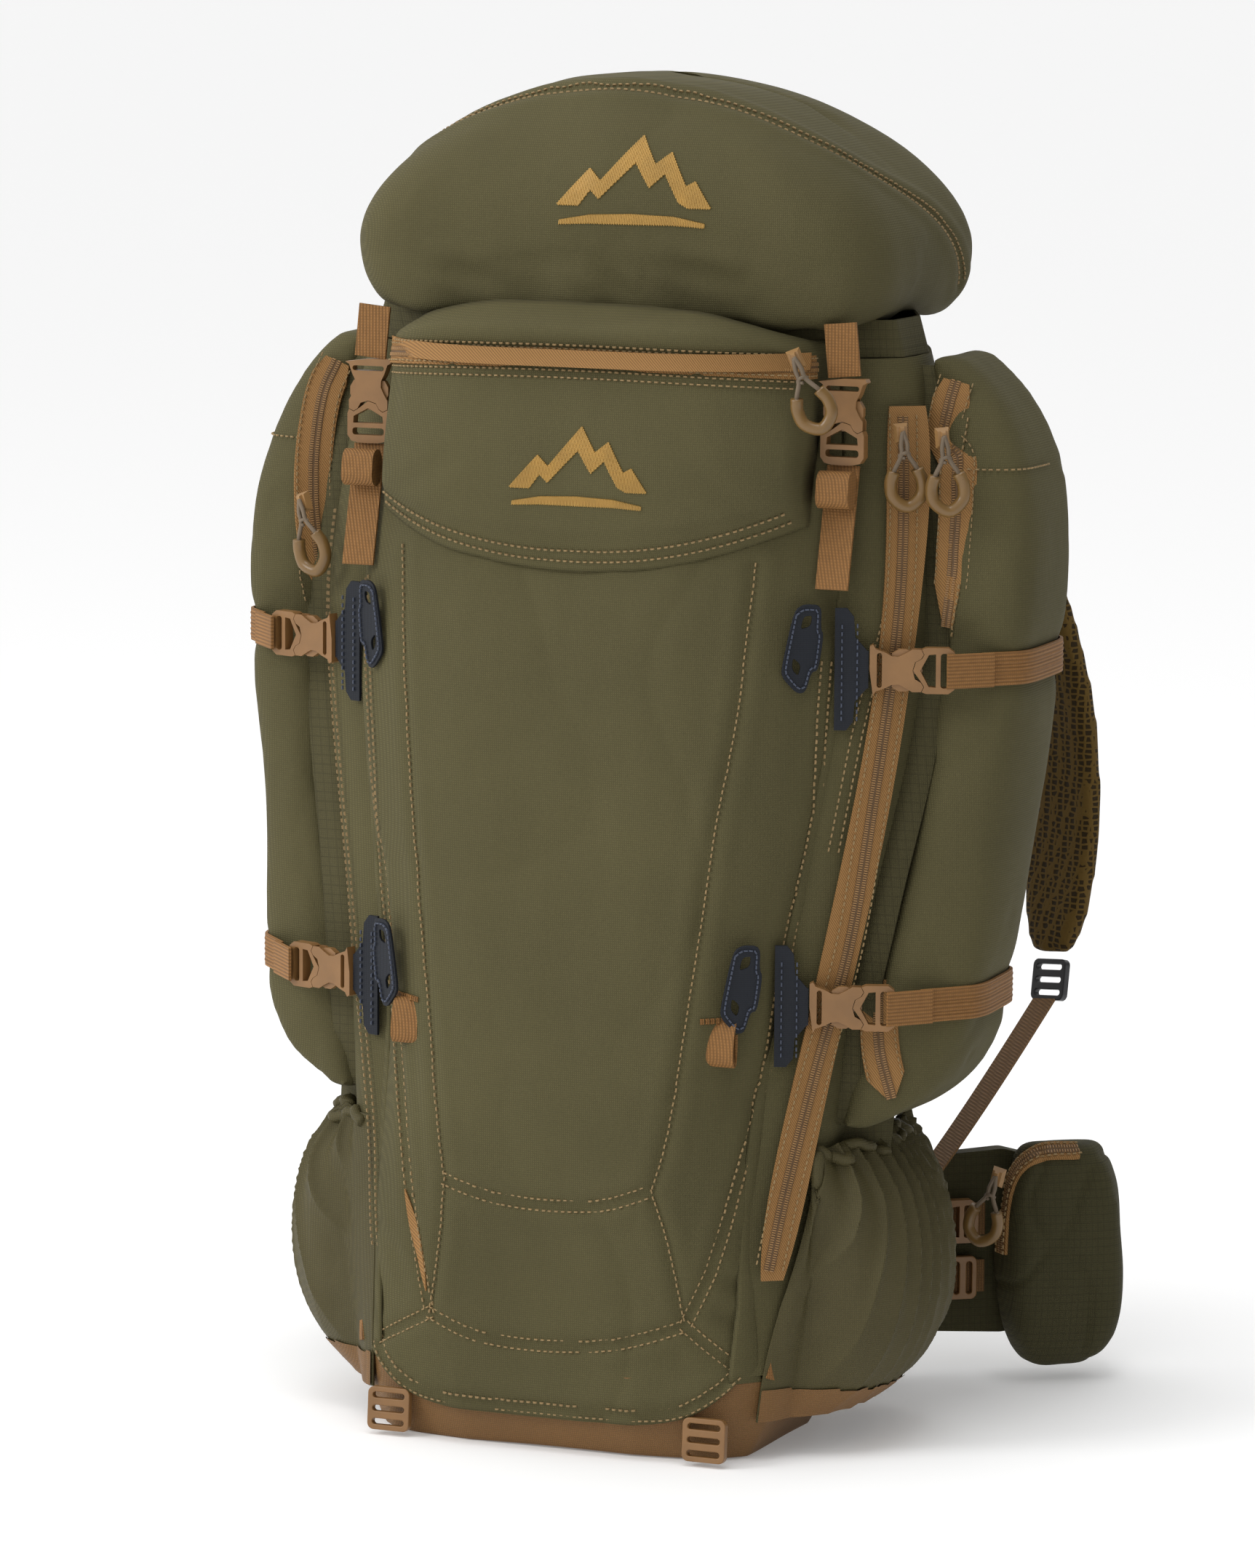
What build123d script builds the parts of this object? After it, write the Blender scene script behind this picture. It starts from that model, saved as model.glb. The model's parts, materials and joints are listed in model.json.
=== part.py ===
from build123d import *
import os
from math import atan2, cos, degrees, radians, sin

# Hunting backpack, millimetres. Origin: centre of the base on the floor, +Z up,
# the pocket face looks along -Y and the wearer's side along +Y.

# Driving dimensions
BACK_FOOT = 112  # back plane's y at the floor
BACK_SLOPE = 0.085  # how far the back plane leans away per millimetre of height
BASE_TOP = 50
PANEL_TOP = 645
COLLAR_TOP = 667
LID_BOTTOM = 668
WEB = 20  # webbing width
WEB_T = 1.8
PANEL_T = 2.5
SEAM_GAP = 0.6
FRONT_POWER = 4  # how squarely the front bends towards its corners
BUCKLE_W = 27
BUCKLE_T = 7
STRAP_ANGLE = 19  # compression straps leave the corners at this angle from X
UPPER_STRAP_Z = 467
LOWER_STRAP_Z = 270
LID_HINGE_Y = 168
LID_HINGE_Z = 615
LID_BUCKLE_X = 151
LID_BUCKLE_Y = -25
SIDES = (("left", -1), ("right", 1))

# Bag outline by height: z, front corner x y, front middle y, side front x y, side middle x y, back corner x
RINGS = (
    (0, 104, -92, -104, 120, -76, 122, 18, 100),
    (55, 117, -90, -110, 133, -74, 135, 20, 112),
    (165, 118, -80, -116, 142, -60, 145, 25, 120),
    (250, 123, -61, -111, 152, -44, 156, 30, 124),
    (340, 137, -47, -99, 168, -24, 170, 38, 128),
    (434, 150, -34, -86, 184, -9, 184, 45, 130),
    (520, 152, -23, -73, 187, 2, 188, 52, 132),
    (600, 148, -6, -52, 180, 16, 182, 58, 132),
    (645, 142, 3, -40, 170, 22, 172, 62, 130),
)
PANEL_LEVELS = (BASE_TOP + 2, 110, 165, 250, 340, 434, 520, 600, PANEL_TOP)
FRONT_STEPS = (-1, -0.85, -0.6, 0, 0.6, 0.85, 1)

os.makedirs("parts", exist_ok=True)


def save(builder, name):
    builder.part.label = name
    export_step(builder.part, f"parts/{name}.step")


def ring(z):
    """The outline's row at height z, between the two rows nearest to it."""
    for low, high in zip(RINGS, RINGS[1:]):
        if z <= high[0]:
            share = (z - low[0]) / (high[0] - low[0])
            return [a + (b - a) * share for a, b in zip(low, high)]
    return list(RINGS[-1])


def back_y(z):
    return BACK_FOOT + BACK_SLOPE * z


def front_y(x, z):
    """The front surface's y: flat in the middle and bent back at the corners."""
    _, corner_x, corner_y, middle_y, *_ = ring(z)
    return middle_y + (corner_y - middle_y) * min(abs(x / corner_x), 1.1) ** FRONT_POWER


def band_face(z, outer, inner):
    """A thin closed section between two curves of the same length, at height z."""
    with BuildSketch(Plane.XY.offset(z)) as section:
        with BuildLine():
            Spline(*outer)
            Line(outer[-1], inner[-1])
            Spline(*reversed(inner))
            Line(inner[0], outer[0])
        make_face()
    return section.sketch


def front_section(z, half_width, outset, thickness):
    outer = [(half_width * f, front_y(half_width * f, z) - outset) for f in FRONT_STEPS]
    inner = [(x, y + thickness) for x, y in outer]
    return band_face(z, outer, inner)


def side_section(z, sign):
    _, cx, cy, _, sx, sy, mx, my, bx = ring(z)
    outer = [(cx + SEAM_GAP, cy + SEAM_GAP), (sx, sy), (mx, my), (bx + 1, back_y(z) - PANEL_T)]
    inner = [
        (outer[0][0], outer[0][1] + PANEL_T),
        (sx - PANEL_T, sy + PANEL_T),
        (mx - PANEL_T, my),
        (bx + 1 - PANEL_T, back_y(z) - PANEL_T - 0.5),
    ]
    return band_face(z, [(sign * x, y) for x, y in outer], [(sign * x, y) for x, y in inner])


def closed_face(z, points, radius):
    """A closed polygon with every corner rounded, at height z."""
    with BuildSketch(Plane.XY.offset(z)) as section:
        with BuildLine():
            Polyline(*points, close=True)
        make_face()
        fillet(section.vertices(), radius)
    return section.sketch


def back_plane(x, z, out):
    """A plane on the back of the bag at height z, out millimetres proud, its z axis facing the wearer."""
    lean = Vector(0, 1, -BACK_SLOPE).normalized()
    return Plane(Vector(x, back_y(z), z) + lean * out, x_dir=(-1, 0, 0), z_dir=lean)


def bar(start, end, width_dir, width, thickness):
    """A flat strap's straight run between two points."""
    path = Vector(*end) - Vector(*start)
    section_plane = Plane(Vector(*start), x_dir=width_dir, z_dir=path.normalized())
    with BuildPart() as run:
        with BuildSketch(section_plane):
            Rectangle(width, thickness)
        extrude(amount=path.length)
    return run.part


# ---------------------------------------------------------------- bag shell
with BuildPart() as base_panel:
    def base_outline(z, inset):
        _, cx, cy, my, sx, sy, mx, sy2, bx = ring(z)
        points = [(cx * f, front_y(cx * f, z) + inset) for f in (0.5, 0.85, 1)]
        points += [(sx - inset, sy), (mx - inset, sy2), (bx - inset, back_y(z) - PANEL_T - inset)]
        mirrored = [(-x, y) for x, y in reversed(points)]
        return points + mirrored
    loft([closed_face(z, base_outline(z, inset), 6) for z, inset in ((0, 4), (14, 0), (BASE_TOP, 0))])
    loft(
        [closed_face(z, base_outline(z, 4), 4) for z in (4, 20, BASE_TOP + 1)],
        mode=Mode.SUBTRACT,
    )
save(base_panel, "base_panel")

with BuildPart() as front_panel:
    loft([front_section(z, ring(z)[1], 0, PANEL_T) for z in PANEL_LEVELS])
save(front_panel, "front_panel")

for side, sign in SIDES:
    with BuildPart() as side_panel:
        loft([side_section(z, sign) for z in PANEL_LEVELS])
    save(side_panel, f"side_panel_{side}")

with BuildPart() as back_panel:
    with BuildSketch(back_plane(0, 0, -PANEL_T)):
        with BuildLine():
            Polyline(
                *[(ring(z)[8] - 2, z * 1.0036) for z in PANEL_LEVELS],
                *[(2 - ring(z)[8], z * 1.0036) for z in reversed(PANEL_LEVELS)],
                close=True,
            )
        make_face()
    extrude(amount=PANEL_T)
save(back_panel, "back_panel")


def collar_outline(inset):
    _, cx, cy, my, sx, sy, mx, sy2, bx = ring(PANEL_TOP)
    points = [(cx * 0.55, my + 4), (cx, cy + 2), (sx, sy), (mx, sy2), (bx, back_y(PANEL_TOP) - 4)]
    inward = [(x - inset, y + inset * (1 if y < 20 else -1 if y > 100 else 0)) for x, y in points]
    return inward + [(-x, y) for x, y in reversed(inward)]


with BuildPart() as top_collar:
    loft([closed_face(z, collar_outline(i), 8) for z, i in ((PANEL_TOP + 0.5, 0), (COLLAR_TOP, 6))])
    loft(
        [closed_face(z, collar_outline(i), 8) for z, i in ((PANEL_TOP, 2), (COLLAR_TOP + 1, 8))],
        mode=Mode.SUBTRACT,
    )
save(top_collar, "top_collar")

# Stuffed front pocket: level, half width, how far it stands out of the front
POCKET_GAP = 7
POCKET_LEVELS = ((524, 128, 4), (560, 134, 15), (600, 134, 25), (636, 134, 28), (660, 126, 20), (678, 108, 10))
with BuildPart() as front_pocket:
    sections = []
    for z, half, out in POCKET_LEVELS:
        clear = POCKET_GAP if z < PANEL_TOP else 2 * POCKET_GAP
        fullness = [(half * f, front_y(half * f, z) - clear - out * (1 - 0.45 * f**4)) for f in FRONT_STEPS]
        behind = [(half * f, front_y(half * f, z) - clear) for f in FRONT_STEPS]
        sections.append(band_face(z, fullness, behind))
    loft(sections)
save(front_pocket, "front_pocket")

# Side pods: level, inner x, inner front y, outer x, outer front y, outer rear y, inner rear y, corner radius
POD_LEVELS = (
    (192, 153, -44, 168, -36, 60, 78, 6),
    (256, 162, -40, 228, -12, 70, 94, 20),
    (330, 174, -26, 236, 0, 76, 104, 24),
    (434, 191, -8, 246, 6, 92, 112, 24),
    (556, 193, 6, 250, 14, 100, 120, 24),
    (604, 187, 18, 236, 26, 100, 122, 20),
    (646, 177, 30, 200, 40, 96, 116, 6),
)
for side, sign in SIDES:
    with BuildPart() as side_pod:
        sections = []
        for z, xi, yi, xo, yo, yr, yb, radius in POD_LEVELS:
            xi += 2
            corners = [(xi, yi), (xo, yo), (xo, yr), (xi, yb)]
            sections.append(closed_face(z, [(sign * x, y) for x, y in corners], min(radius, (xo - xi) / 2.6)))
        loft(sections)
    save(side_pod, f"side_pod_{side}")

# Bottle pockets: level, inner edge x, outermost x
BOTTLE_TOP = 188
BOTTLE_LEVELS = ((22, 136, 160), (60, 141, 184), (115, 145, 190), (160, 149, 184), (BOTTLE_TOP, 153, 172))
BOTTLE_FRONT = -62
BOTTLE_REAR = 92
BOTTLE_T = 2


def bottle_section(z, inner_x, outer_x, inset, sign):
    front, rear = BOTTLE_FRONT + inset, BOTTLE_REAR - inset
    lean = max(0, z - 165) * 0.35
    outer_x -= inset
    bend = (front + rear) / 2
    arc = [
        (inner_x, front + lean),
        (outer_x - 8, front + 22 + lean),
        (outer_x, bend + lean / 2),
        (outer_x - 10, rear - 24),
        (inner_x, rear),
    ]
    with BuildSketch(Plane.XY.offset(z)) as section:
        with BuildLine():
            Spline(*[(sign * x, y) for x, y in arc])
            Line((sign * arc[-1][0], arc[-1][1]), (sign * arc[0][0], arc[0][1]))
        make_face()
    return section.sketch


for side, sign in SIDES:
    with BuildPart() as bottle_pocket:
        loft([bottle_section(z, xi, xo, 0, sign) for z, xi, xo in BOTTLE_LEVELS])
        hollow = [(max(z, 25), xi - 2, xo) for z, xi, xo in BOTTLE_LEVELS[:-1]] + [(BOTTLE_TOP + 1, 151, 172)]
        loft([bottle_section(z, xi, xo, BOTTLE_T, sign) for z, xi, xo in hollow], mode=Mode.SUBTRACT)
    save(bottle_pocket, f"bottle_pocket_{side}")

# ---------------------------------------------------------------- frame and back
FRAME_HEIGHT = 550
with BuildPart() as frame_sheet:
    with BuildSketch(back_plane(0, 330, 0.5)):
        RectangleRounded(236, FRAME_HEIGHT, 36)
        with Locations((0, 130)):
            SlotOverall(120, 34, mode=Mode.SUBTRACT)
        with GridLocations(0, 90, 1, 2):
            with Locations((0, -110)):
                SlotOverall(120, 30, mode=Mode.SUBTRACT)
    extrude(amount=2)
save(frame_sheet, "frame_sheet")

with BuildPart() as frame_stays:
    with BuildSketch(back_plane(0, 330, 2.7)):
        with GridLocations(186, 0, 2, 1):
            SlotOverall(540, 12, rotation=90)
    extrude(amount=3)
save(frame_stays, "frame_stays")

with BuildPart() as lumbar_pad:
    with BuildSketch(back_plane(0, 100, 6.2)):
        RectangleRounded(118, 124, 26)
    extrude(amount=24, taper=8)
    fillet(lumbar_pad.faces().sort_by(Axis.Y)[-1].edges(), 8)
save(lumbar_pad, "lumbar_pad")

with BuildPart() as back_pads:
    with BuildSketch(back_plane(0, 400, 6.2)):
        with GridLocations(92, 0, 2, 1):
            RectangleRounded(72, 200, 20)
    extrude(amount=15, taper=8)
    fillet(back_pads.faces().group_by(Axis.Y)[-1].edges(), 5)
save(back_pads, "back_pads")

with BuildPart() as yoke:
    with BuildSketch(back_plane(0, 536, 6.2)):
        Trapezoid(200, 74, 70)
        fillet(yoke.pending_faces[0].vertices() if yoke.pending_faces else vertices(), 12)
    extrude(amount=5)
save(yoke, "yoke")

with BuildPart() as haul_loop:
    with BuildSketch(Plane.YZ):
        with BuildLine():
            loop_y, loop_z = back_y(590), 590
            Spline((loop_y + 3, loop_z - 14), (loop_y + 24, loop_z - 6), (loop_y + 30, loop_z + 2))
        trace(line_width=3)
    extrude(amount=48, both=True)
    with BuildSketch(Plane.XY.offset(loop_z - 40)):
        with Locations((0, loop_y + 16)):
            Rectangle(64, 40)
    extrude(amount=60, mode=Mode.SUBTRACT)
    add(bar((-38, loop_y + 29.5, loop_z), (38, loop_y + 29.5, loop_z), (0, 0, 1), WEB - 4, 3))
save(haul_loop, "haul_loop")

# ---------------------------------------------------------------- zips
ZIP_W = 22
ZIP_T = 1.6
# Main zip centre line, as height and distance outward from the front corner
MAIN_ZIP = ((618, 33), (500, 33), (380, 30), (300, 29), (225, 26), (155, 20), (110, 14))
SIDE_TURN = radians(35)


def beside_corner(z, distance, out):
    """A point on the side, distance outward from the front corner and out millimetres proud of it."""
    _, cx, cy, *_ = ring(z)
    return (
        cx + distance * cos(SIDE_TURN) + out * sin(SIDE_TURN),
        cy + distance * sin(SIDE_TURN) - out * cos(SIDE_TURN),
        z,
    )


with BuildPart() as main_zip:
    sections = []
    for z, distance in MAIN_ZIP:
        width_dir = (cos(SIDE_TURN), sin(SIDE_TURN), 0)
        with BuildSketch(Plane(beside_corner(z, distance, 8), x_dir=width_dir, z_dir=(0, 0, 1))) as tape:
            Rectangle(ZIP_W * (0.6 if z < 120 else 1), ZIP_T)
        sections.append(tape.sketch)
    loft(sections)
save(main_zip, "main_zip")

with BuildPart() as pocket_zip:
    tape_sections = []
    for z in (641, 646, 651):
        half = 133
        outer = [(half * f, front_y(half * f, z) - 10 - 31 * (1 - 0.45 * f**4)) for f in FRONT_STEPS]
        tape_sections.append(band_face(z, outer, [(x, y + ZIP_T) for x, y in outer]))
    loft(tape_sections)
save(pocket_zip, "pocket_zip")

# Pod zips: an upper one that curves back over the shoulder and a short lower one, as point lists
POD_ZIP_UPPER = ((200, -6, 500), (201, -2, 540), (200, 4, 580), (196, 14, 612), (190, 26, 640))
POD_ZIP_LOWER = ((175, -42, 250), (168, -48, 225), (158, -53, 194))
with BuildPart() as pod_zips:
    for side, sign in SIDES:
        for route in (POD_ZIP_UPPER, POD_ZIP_LOWER):
            tapes = []
            for x, y, z in route:
                with BuildSketch(Plane((sign * x, y, z), x_dir=(0.82 * sign, 0.57, 0), z_dir=(0, 0, 1))) as tape:
                    Rectangle(14, ZIP_T)
                tapes.append(tape.sketch)
            loft(tapes)
save(pod_zips, "pod_zips")

# ---------------------------------------------------------------- buckle shapes
# Local frame: x runs along the strap with 0 at the mouth where the halves meet, the receiver on
# the -x side, y across the strap and z through the thickness.
RECEIVER_L = 22
CLIP_L = 20
PRONG_L = 17
PRONG_T = 3.8
PLATE_T = 1.3
SLOT_W = WEB + 1.5

HALF_W = BUCKLE_W / 2
MOUTH_WAVE = ((0, HALF_W - 1), (1.5, HALF_W - 4), (0, 7), (-3.5, 5), (-5, 0))
CLEAR = 0.4


def mirrored_outline(points):
    """A closed outline from the points of its upper half, mirrored over the strap's centre line."""
    return list(points) + [(x, -y) for x, y in reversed(points) if y != 0]


with BuildPart() as receiver_shape:
    flared_bar = ((-30, 0), (-30, HALF_W + 0.5), (-28, HALF_W + 1.5), (-26.5, HALF_W - 1))
    waist = ((-21, 10.5), (-17, 8.4), (-13, 8.2), (-9, 10.2), (-5, 12.6))
    with BuildSketch(Plane.XY):
        with BuildLine():
            Polyline(*mirrored_outline(flared_bar + waist + MOUTH_WAVE)[:-1], close=True)
        make_face()
        with Locations((-24.3, 0)):
            SlotOverall(SLOT_W - 1, 3, rotation=90, mode=Mode.SUBTRACT)
    extrude(amount=BUCKLE_T / 2, both=True)
    with BuildSketch(Plane.XY):
        with Locations((-8.5, 0)):
            Rectangle(20, BUCKLE_W + 4)
    extrude(amount=(BUCKLE_T - 2 * PLATE_T) / 2, both=True, mode=Mode.SUBTRACT)

with BuildPart() as clip_shape:
    wave = tuple((x + CLEAR, y) for x, y in reversed(MOUTH_WAVE))
    rim = ((3, HALF_W), (16, HALF_W), (19.4, HALF_W - 2.5), (CLIP_L + 0.4, HALF_W - 7), (CLIP_L + 0.6, 0))
    with BuildSketch(Plane.XY):
        with BuildLine():
            Polyline(*mirrored_outline(wave + rim)[:-1], close=True)
        make_face()
        with BuildLine():
            Polyline((4.5, 9.4), (8.6, 9.8), (8.6, -9.8), (4.5, -9.4), (-0.5, 0), close=True)
        make_face(mode=Mode.SUBTRACT)
        with Locations((13.6, 0)):
            RectangleRounded(4.4, SLOT_W - 1, 1.8, mode=Mode.SUBTRACT)
    extrude(amount=BUCKLE_T / 2, both=True)
    with BuildSketch(Plane.XY):
        with Locations((-6.2, 0)):
            SlotOverall(PRONG_L - 3, 4)
        for way in (-1, 1):
            with BuildLine():
                Polyline(
                    (3, way * 8.6), (-6, way * 7.4), (-PRONG_L, way * 7.6), (-PRONG_L, way * 10),
                    (-13, way * 12.4), (-8.5, way * 12.4), (-6, way * 11.2), (3, way * 11.2), close=True,
                )
            make_face()
    extrude(amount=PRONG_T / 2, both=True)

with BuildPart() as ladder_shape:
    with BuildSketch(Plane.XY):
        RectangleRounded(26, BUCKLE_W, 4)
        with Locations((-8, 0), (0, 0), (8, 0)):
            SlotOverall(SLOT_W - 1, 3.6, rotation=90, mode=Mode.SUBTRACT)
    extrude(amount=2.2, both=True)
    fillet(ladder_shape.faces().group_by(Axis.Z)[-1].edges(), 0.7)

# A zip's slider with its pull: x across the tape, y up along it, z proud of it.
PULL_DROP = 34
with BuildPart() as slider_shape:
    with BuildSketch(Plane.XY):
        Trapezoid(10, 13, 78)
    extrude(amount=4.6)
    fillet(slider_shape.edges().filter_by(Axis.Z), 1.5)
    with BuildSketch(Plane.XZ.offset(-4)):
        with Locations((0, 5.6)):
            Rectangle(3, 3)
    extrude(amount=8)
    with BuildSketch(Plane.XY.offset(5.4)):
        with Locations((-2.1, -11), (2.1, -11)):
            Rectangle(2.2, 18)
    extrude(amount=2.2)
    with BuildSketch(Plane.XY.offset(4.4)):
        with Locations((0, -PULL_DROP)):
            SlotOverall(32, 17, rotation=90)
            SlotOverall(22, 8, rotation=90, mode=Mode.SUBTRACT)
    extrude(amount=4.4)

# ---------------------------------------------------------------- compression straps
STRAP_TURN = radians(STRAP_ANGLE)
TAB_PROUD = 8
MOUTH_AT = 48.5  # from the corner to the buckle's mouth


def strap_plane(z, sign, distance):
    """The buckle's frame beside the front corner at height z, distance along the strap."""
    _, cx, cy, *_ = ring(z)
    x = cx + distance * cos(STRAP_TURN) + TAB_PROUD * sin(STRAP_TURN)
    y = cy + distance * sin(STRAP_TURN) - TAB_PROUD * cos(STRAP_TURN)
    outward = (sign * cos(STRAP_TURN), sin(STRAP_TURN), 0)
    proud = (sign * sin(STRAP_TURN), -cos(STRAP_TURN), 0)
    return Plane((sign * x, y, z), x_dir=outward, z_dir=proud)


STRAP_PLACES = [
    (f"{level}_{side}", z, sign)
    for level, z in (("upper", UPPER_STRAP_Z), ("lower", LOWER_STRAP_Z))
    for side, sign in SIDES
]

with BuildPart() as corner_tabs:
    for _, z, sign in STRAP_PLACES:
        with BuildSketch(strap_plane(z, sign, 0)):
            with BuildLine():
                Polyline(
                    (-2, -36), (5, -36), (9, -31), (10, -19), (17, -11), (17.8, -11),
                    (17.8, 11), (17, 11), (10, 19), (9, 31), (5, 36), (-2, 36), close=True,
                )
            make_face()
        extrude(amount=0.9, both=True)
save(corner_tabs, "corner_tabs")

with BuildPart() as strap_receivers:
    for _, z, sign in STRAP_PLACES:
        with Locations(strap_plane(z, sign, MOUTH_AT).location):
            add(receiver_shape.part)
save(strap_receivers, "strap_receivers")

# Where each level's strap turns over the pod's outer face
POD_TURN = {UPPER_STRAP_Z: (255, 0, 100), LOWER_STRAP_Z: (238, -16, 82)}
for place, z, sign in STRAP_PLACES:
    with BuildPart() as strap_clip:
        with Locations(strap_plane(z, sign, MOUTH_AT).location):
            add(clip_shape.part)
    save(strap_clip, f"strap_clip_{place}")

    start = strap_plane(z, sign, MOUTH_AT + CLIP_L + 1).origin
    turn_x, turn_front, turn_rear = POD_TURN[z]
    side_x = ring(z)[6] - 12
    with BuildPart() as compression_strap:
        with BuildSketch(Plane.XY.offset(z - WEB / 2)):
            with BuildLine():
                FilletPolyline(
                    (start.X, start.Y), (sign * turn_x, turn_front), (sign * turn_x, turn_rear),
                    (sign * (side_x + 8), turn_rear + 26), radius=10,
                )
            trace(line_width=WEB_T)
        extrude(amount=WEB)
    save(compression_strap, f"compression_strap_{place}")

with BuildPart() as lash_tabs:
    for x, z in ((133, 480), (109, 282)):
        for sign in (-1, 1):
            face_out = Vector(sign, -1.25, 0).normalized()
            centre = Vector(sign * x, front_y(x, z), z) + face_out * 5
            with BuildSketch(Plane(centre, x_dir=(sign * 1.25, 1, 0), z_dir=face_out)):
                RectangleRounded(22, 52, 5)
                with GridLocations(0, 24, 1, 2):
                    SlotOverall(14, 7, rotation=90, mode=Mode.SUBTRACT)
            extrude(amount=1, both=True)
save(lash_tabs, "lash_tabs")

with BuildPart() as webbing_loops:
    for sign in (-1, 1):
        loop_x, loop_z = 98, 240
        with BuildSketch(Plane.XZ.offset(-front_y(loop_x, loop_z) + 5)):
            with Locations((sign * loop_x, loop_z)):
                Rectangle(13, 15)
        extrude(amount=3)
        foot = (sign * 104, -103, 46)
        add(bar(foot, (sign * 101, -108, 30.5), (1, 0, 0), WEB, WEB_T))
        with BuildSketch(Plane.XY.offset(40)):
            with Locations((sign * 139, -76)):
                Rectangle(3, 18, rotation=sign * 12)
        extrude(amount=10)
save(webbing_loops, "webbing_loops")

with BuildPart() as base_hooks:
    for sign in (-1, 1):
        lean = Vector(0, -1, 0.08).normalized()
        with Locations(Plane((sign * 101, -106.5, 16), x_dir=(0, 0, 1), z_dir=lean).location):
            add(ladder_shape.part)
save(base_hooks, "base_hooks")

# ---------------------------------------------------------------- lid
# Dome outline by height: half width, front y, rear y, corner radius
LID_LEVELS = (
    (LID_BOTTOM, 150, -30, 174, 34),
    (690, 168, -40, 178, 46),
    (730, 168, -50, 178, 52),
    (768, 142, -44, 168, 56),
    (795, 92, -26, 140, 50),
    (806, 40, -6, 90, 30),
)
TONGUE_HALF = 110
with BuildPart() as lid_shell:
    sections = []
    for z, half, front, rear, radius in LID_LEVELS:
        corners = [(-half, front + 14), (0, front), (half, front + 14), (half, rear), (-half, rear)]
        sections.append(closed_face(z, corners, radius))
    loft(sections)
    with BuildSketch(Plane.XY.offset(LID_HINGE_Z + 0.5)):
        with Locations((0, LID_HINGE_Y + 4)):
            Rectangle(2 * TONGUE_HALF, 4)
    extrude(amount=LID_BOTTOM + 4 - LID_HINGE_Z)
save(lid_shell, "lid_shell")

LID_MOUTH = LID_HINGE_Z - 9


def lid_buckle_plane(sign):
    """The lid buckle's frame: its clip hangs below the mouth and its receiver stands above it."""
    return Plane((sign * LID_BUCKLE_X, LID_BUCKLE_Y, LID_MOUTH), x_dir=(0, 0, -1), z_dir=(0, -1, 0))


with BuildPart() as lid_receivers:
    for _, sign in SIDES:
        with Locations(lid_buckle_plane(sign).location):
            add(receiver_shape.part)
save(lid_receivers, "lid_receivers")

with BuildPart() as lid_clips:
    for _, sign in SIDES:
        with Locations(lid_buckle_plane(sign).location):
            add(clip_shape.part)
save(lid_clips, "lid_clips")

with BuildPart() as lid_webbing:
    for _, sign in SIDES:
        low = (sign * LID_BUCKLE_X, LID_BUCKLE_Y, LID_MOUTH + RECEIVER_L + 8.8)
        add(bar(low, (sign * (LID_BUCKLE_X - 3), LID_BUCKLE_Y, LID_BOTTOM), (1, 0, 0), WEB, WEB_T))
save(lid_webbing, "lid_webbing")

with BuildPart() as lid_straps:
    for _, sign in SIDES:
        clip_foot = (sign * LID_BUCKLE_X, LID_BUCKLE_Y, LID_MOUTH - CLIP_L - 1)
        add(bar((sign * LID_BUCKLE_X, -43, 514), clip_foot, (1, 0, 0), WEB, WEB_T))
        with BuildSketch(Plane.YZ.offset(sign * LID_BUCKLE_X - WEB / 2)):
            with Locations((LID_BUCKLE_Y - 13, LID_MOUTH - 34)):
                SlotOverall(22, 14, rotation=80)
        extrude(amount=WEB)
save(lid_straps, "lid_straps")

# ---------------------------------------------------------------- shoulder harness
# Strap centre line on the right: x, y, z, the width direction's turn about Z, width
STRAP_ROUTE = (
    (58, 190, 562, 0, 58),
    (76, 212, 572, -6, 62),
    (108, 248, 556, -12, 64),
    (146, 277, 504, -20, 66),
    (172, 288, 430, -26, 66),
    (184, 286, 350, -28, 62),
    (186, 272, 275, -28, 46),
    (186, 266, 255, -28, 30),
)
STRAP_T = 14


def strap_section(index, sign):
    x, y, z, turn, width = STRAP_ROUTE[index]
    before = Vector(*STRAP_ROUTE[max(index - 1, 0)][:3])
    after = Vector(*STRAP_ROUTE[min(index + 1, len(STRAP_ROUTE) - 1)][:3])
    run = after - before
    along = Vector(sign * run.X, run.Y, run.Z).normalized()
    across = Vector(cos(radians(turn)), sign * sin(radians(turn)), 0)
    across = (across - along * across.dot(along)).normalized()
    with BuildSketch(Plane((sign * x, y, z), x_dir=across, z_dir=along)) as section:
        RectangleRounded(width, STRAP_T * (0.7 if index == len(STRAP_ROUTE) - 1 else 1), 4)
    return section.sketch


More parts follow.
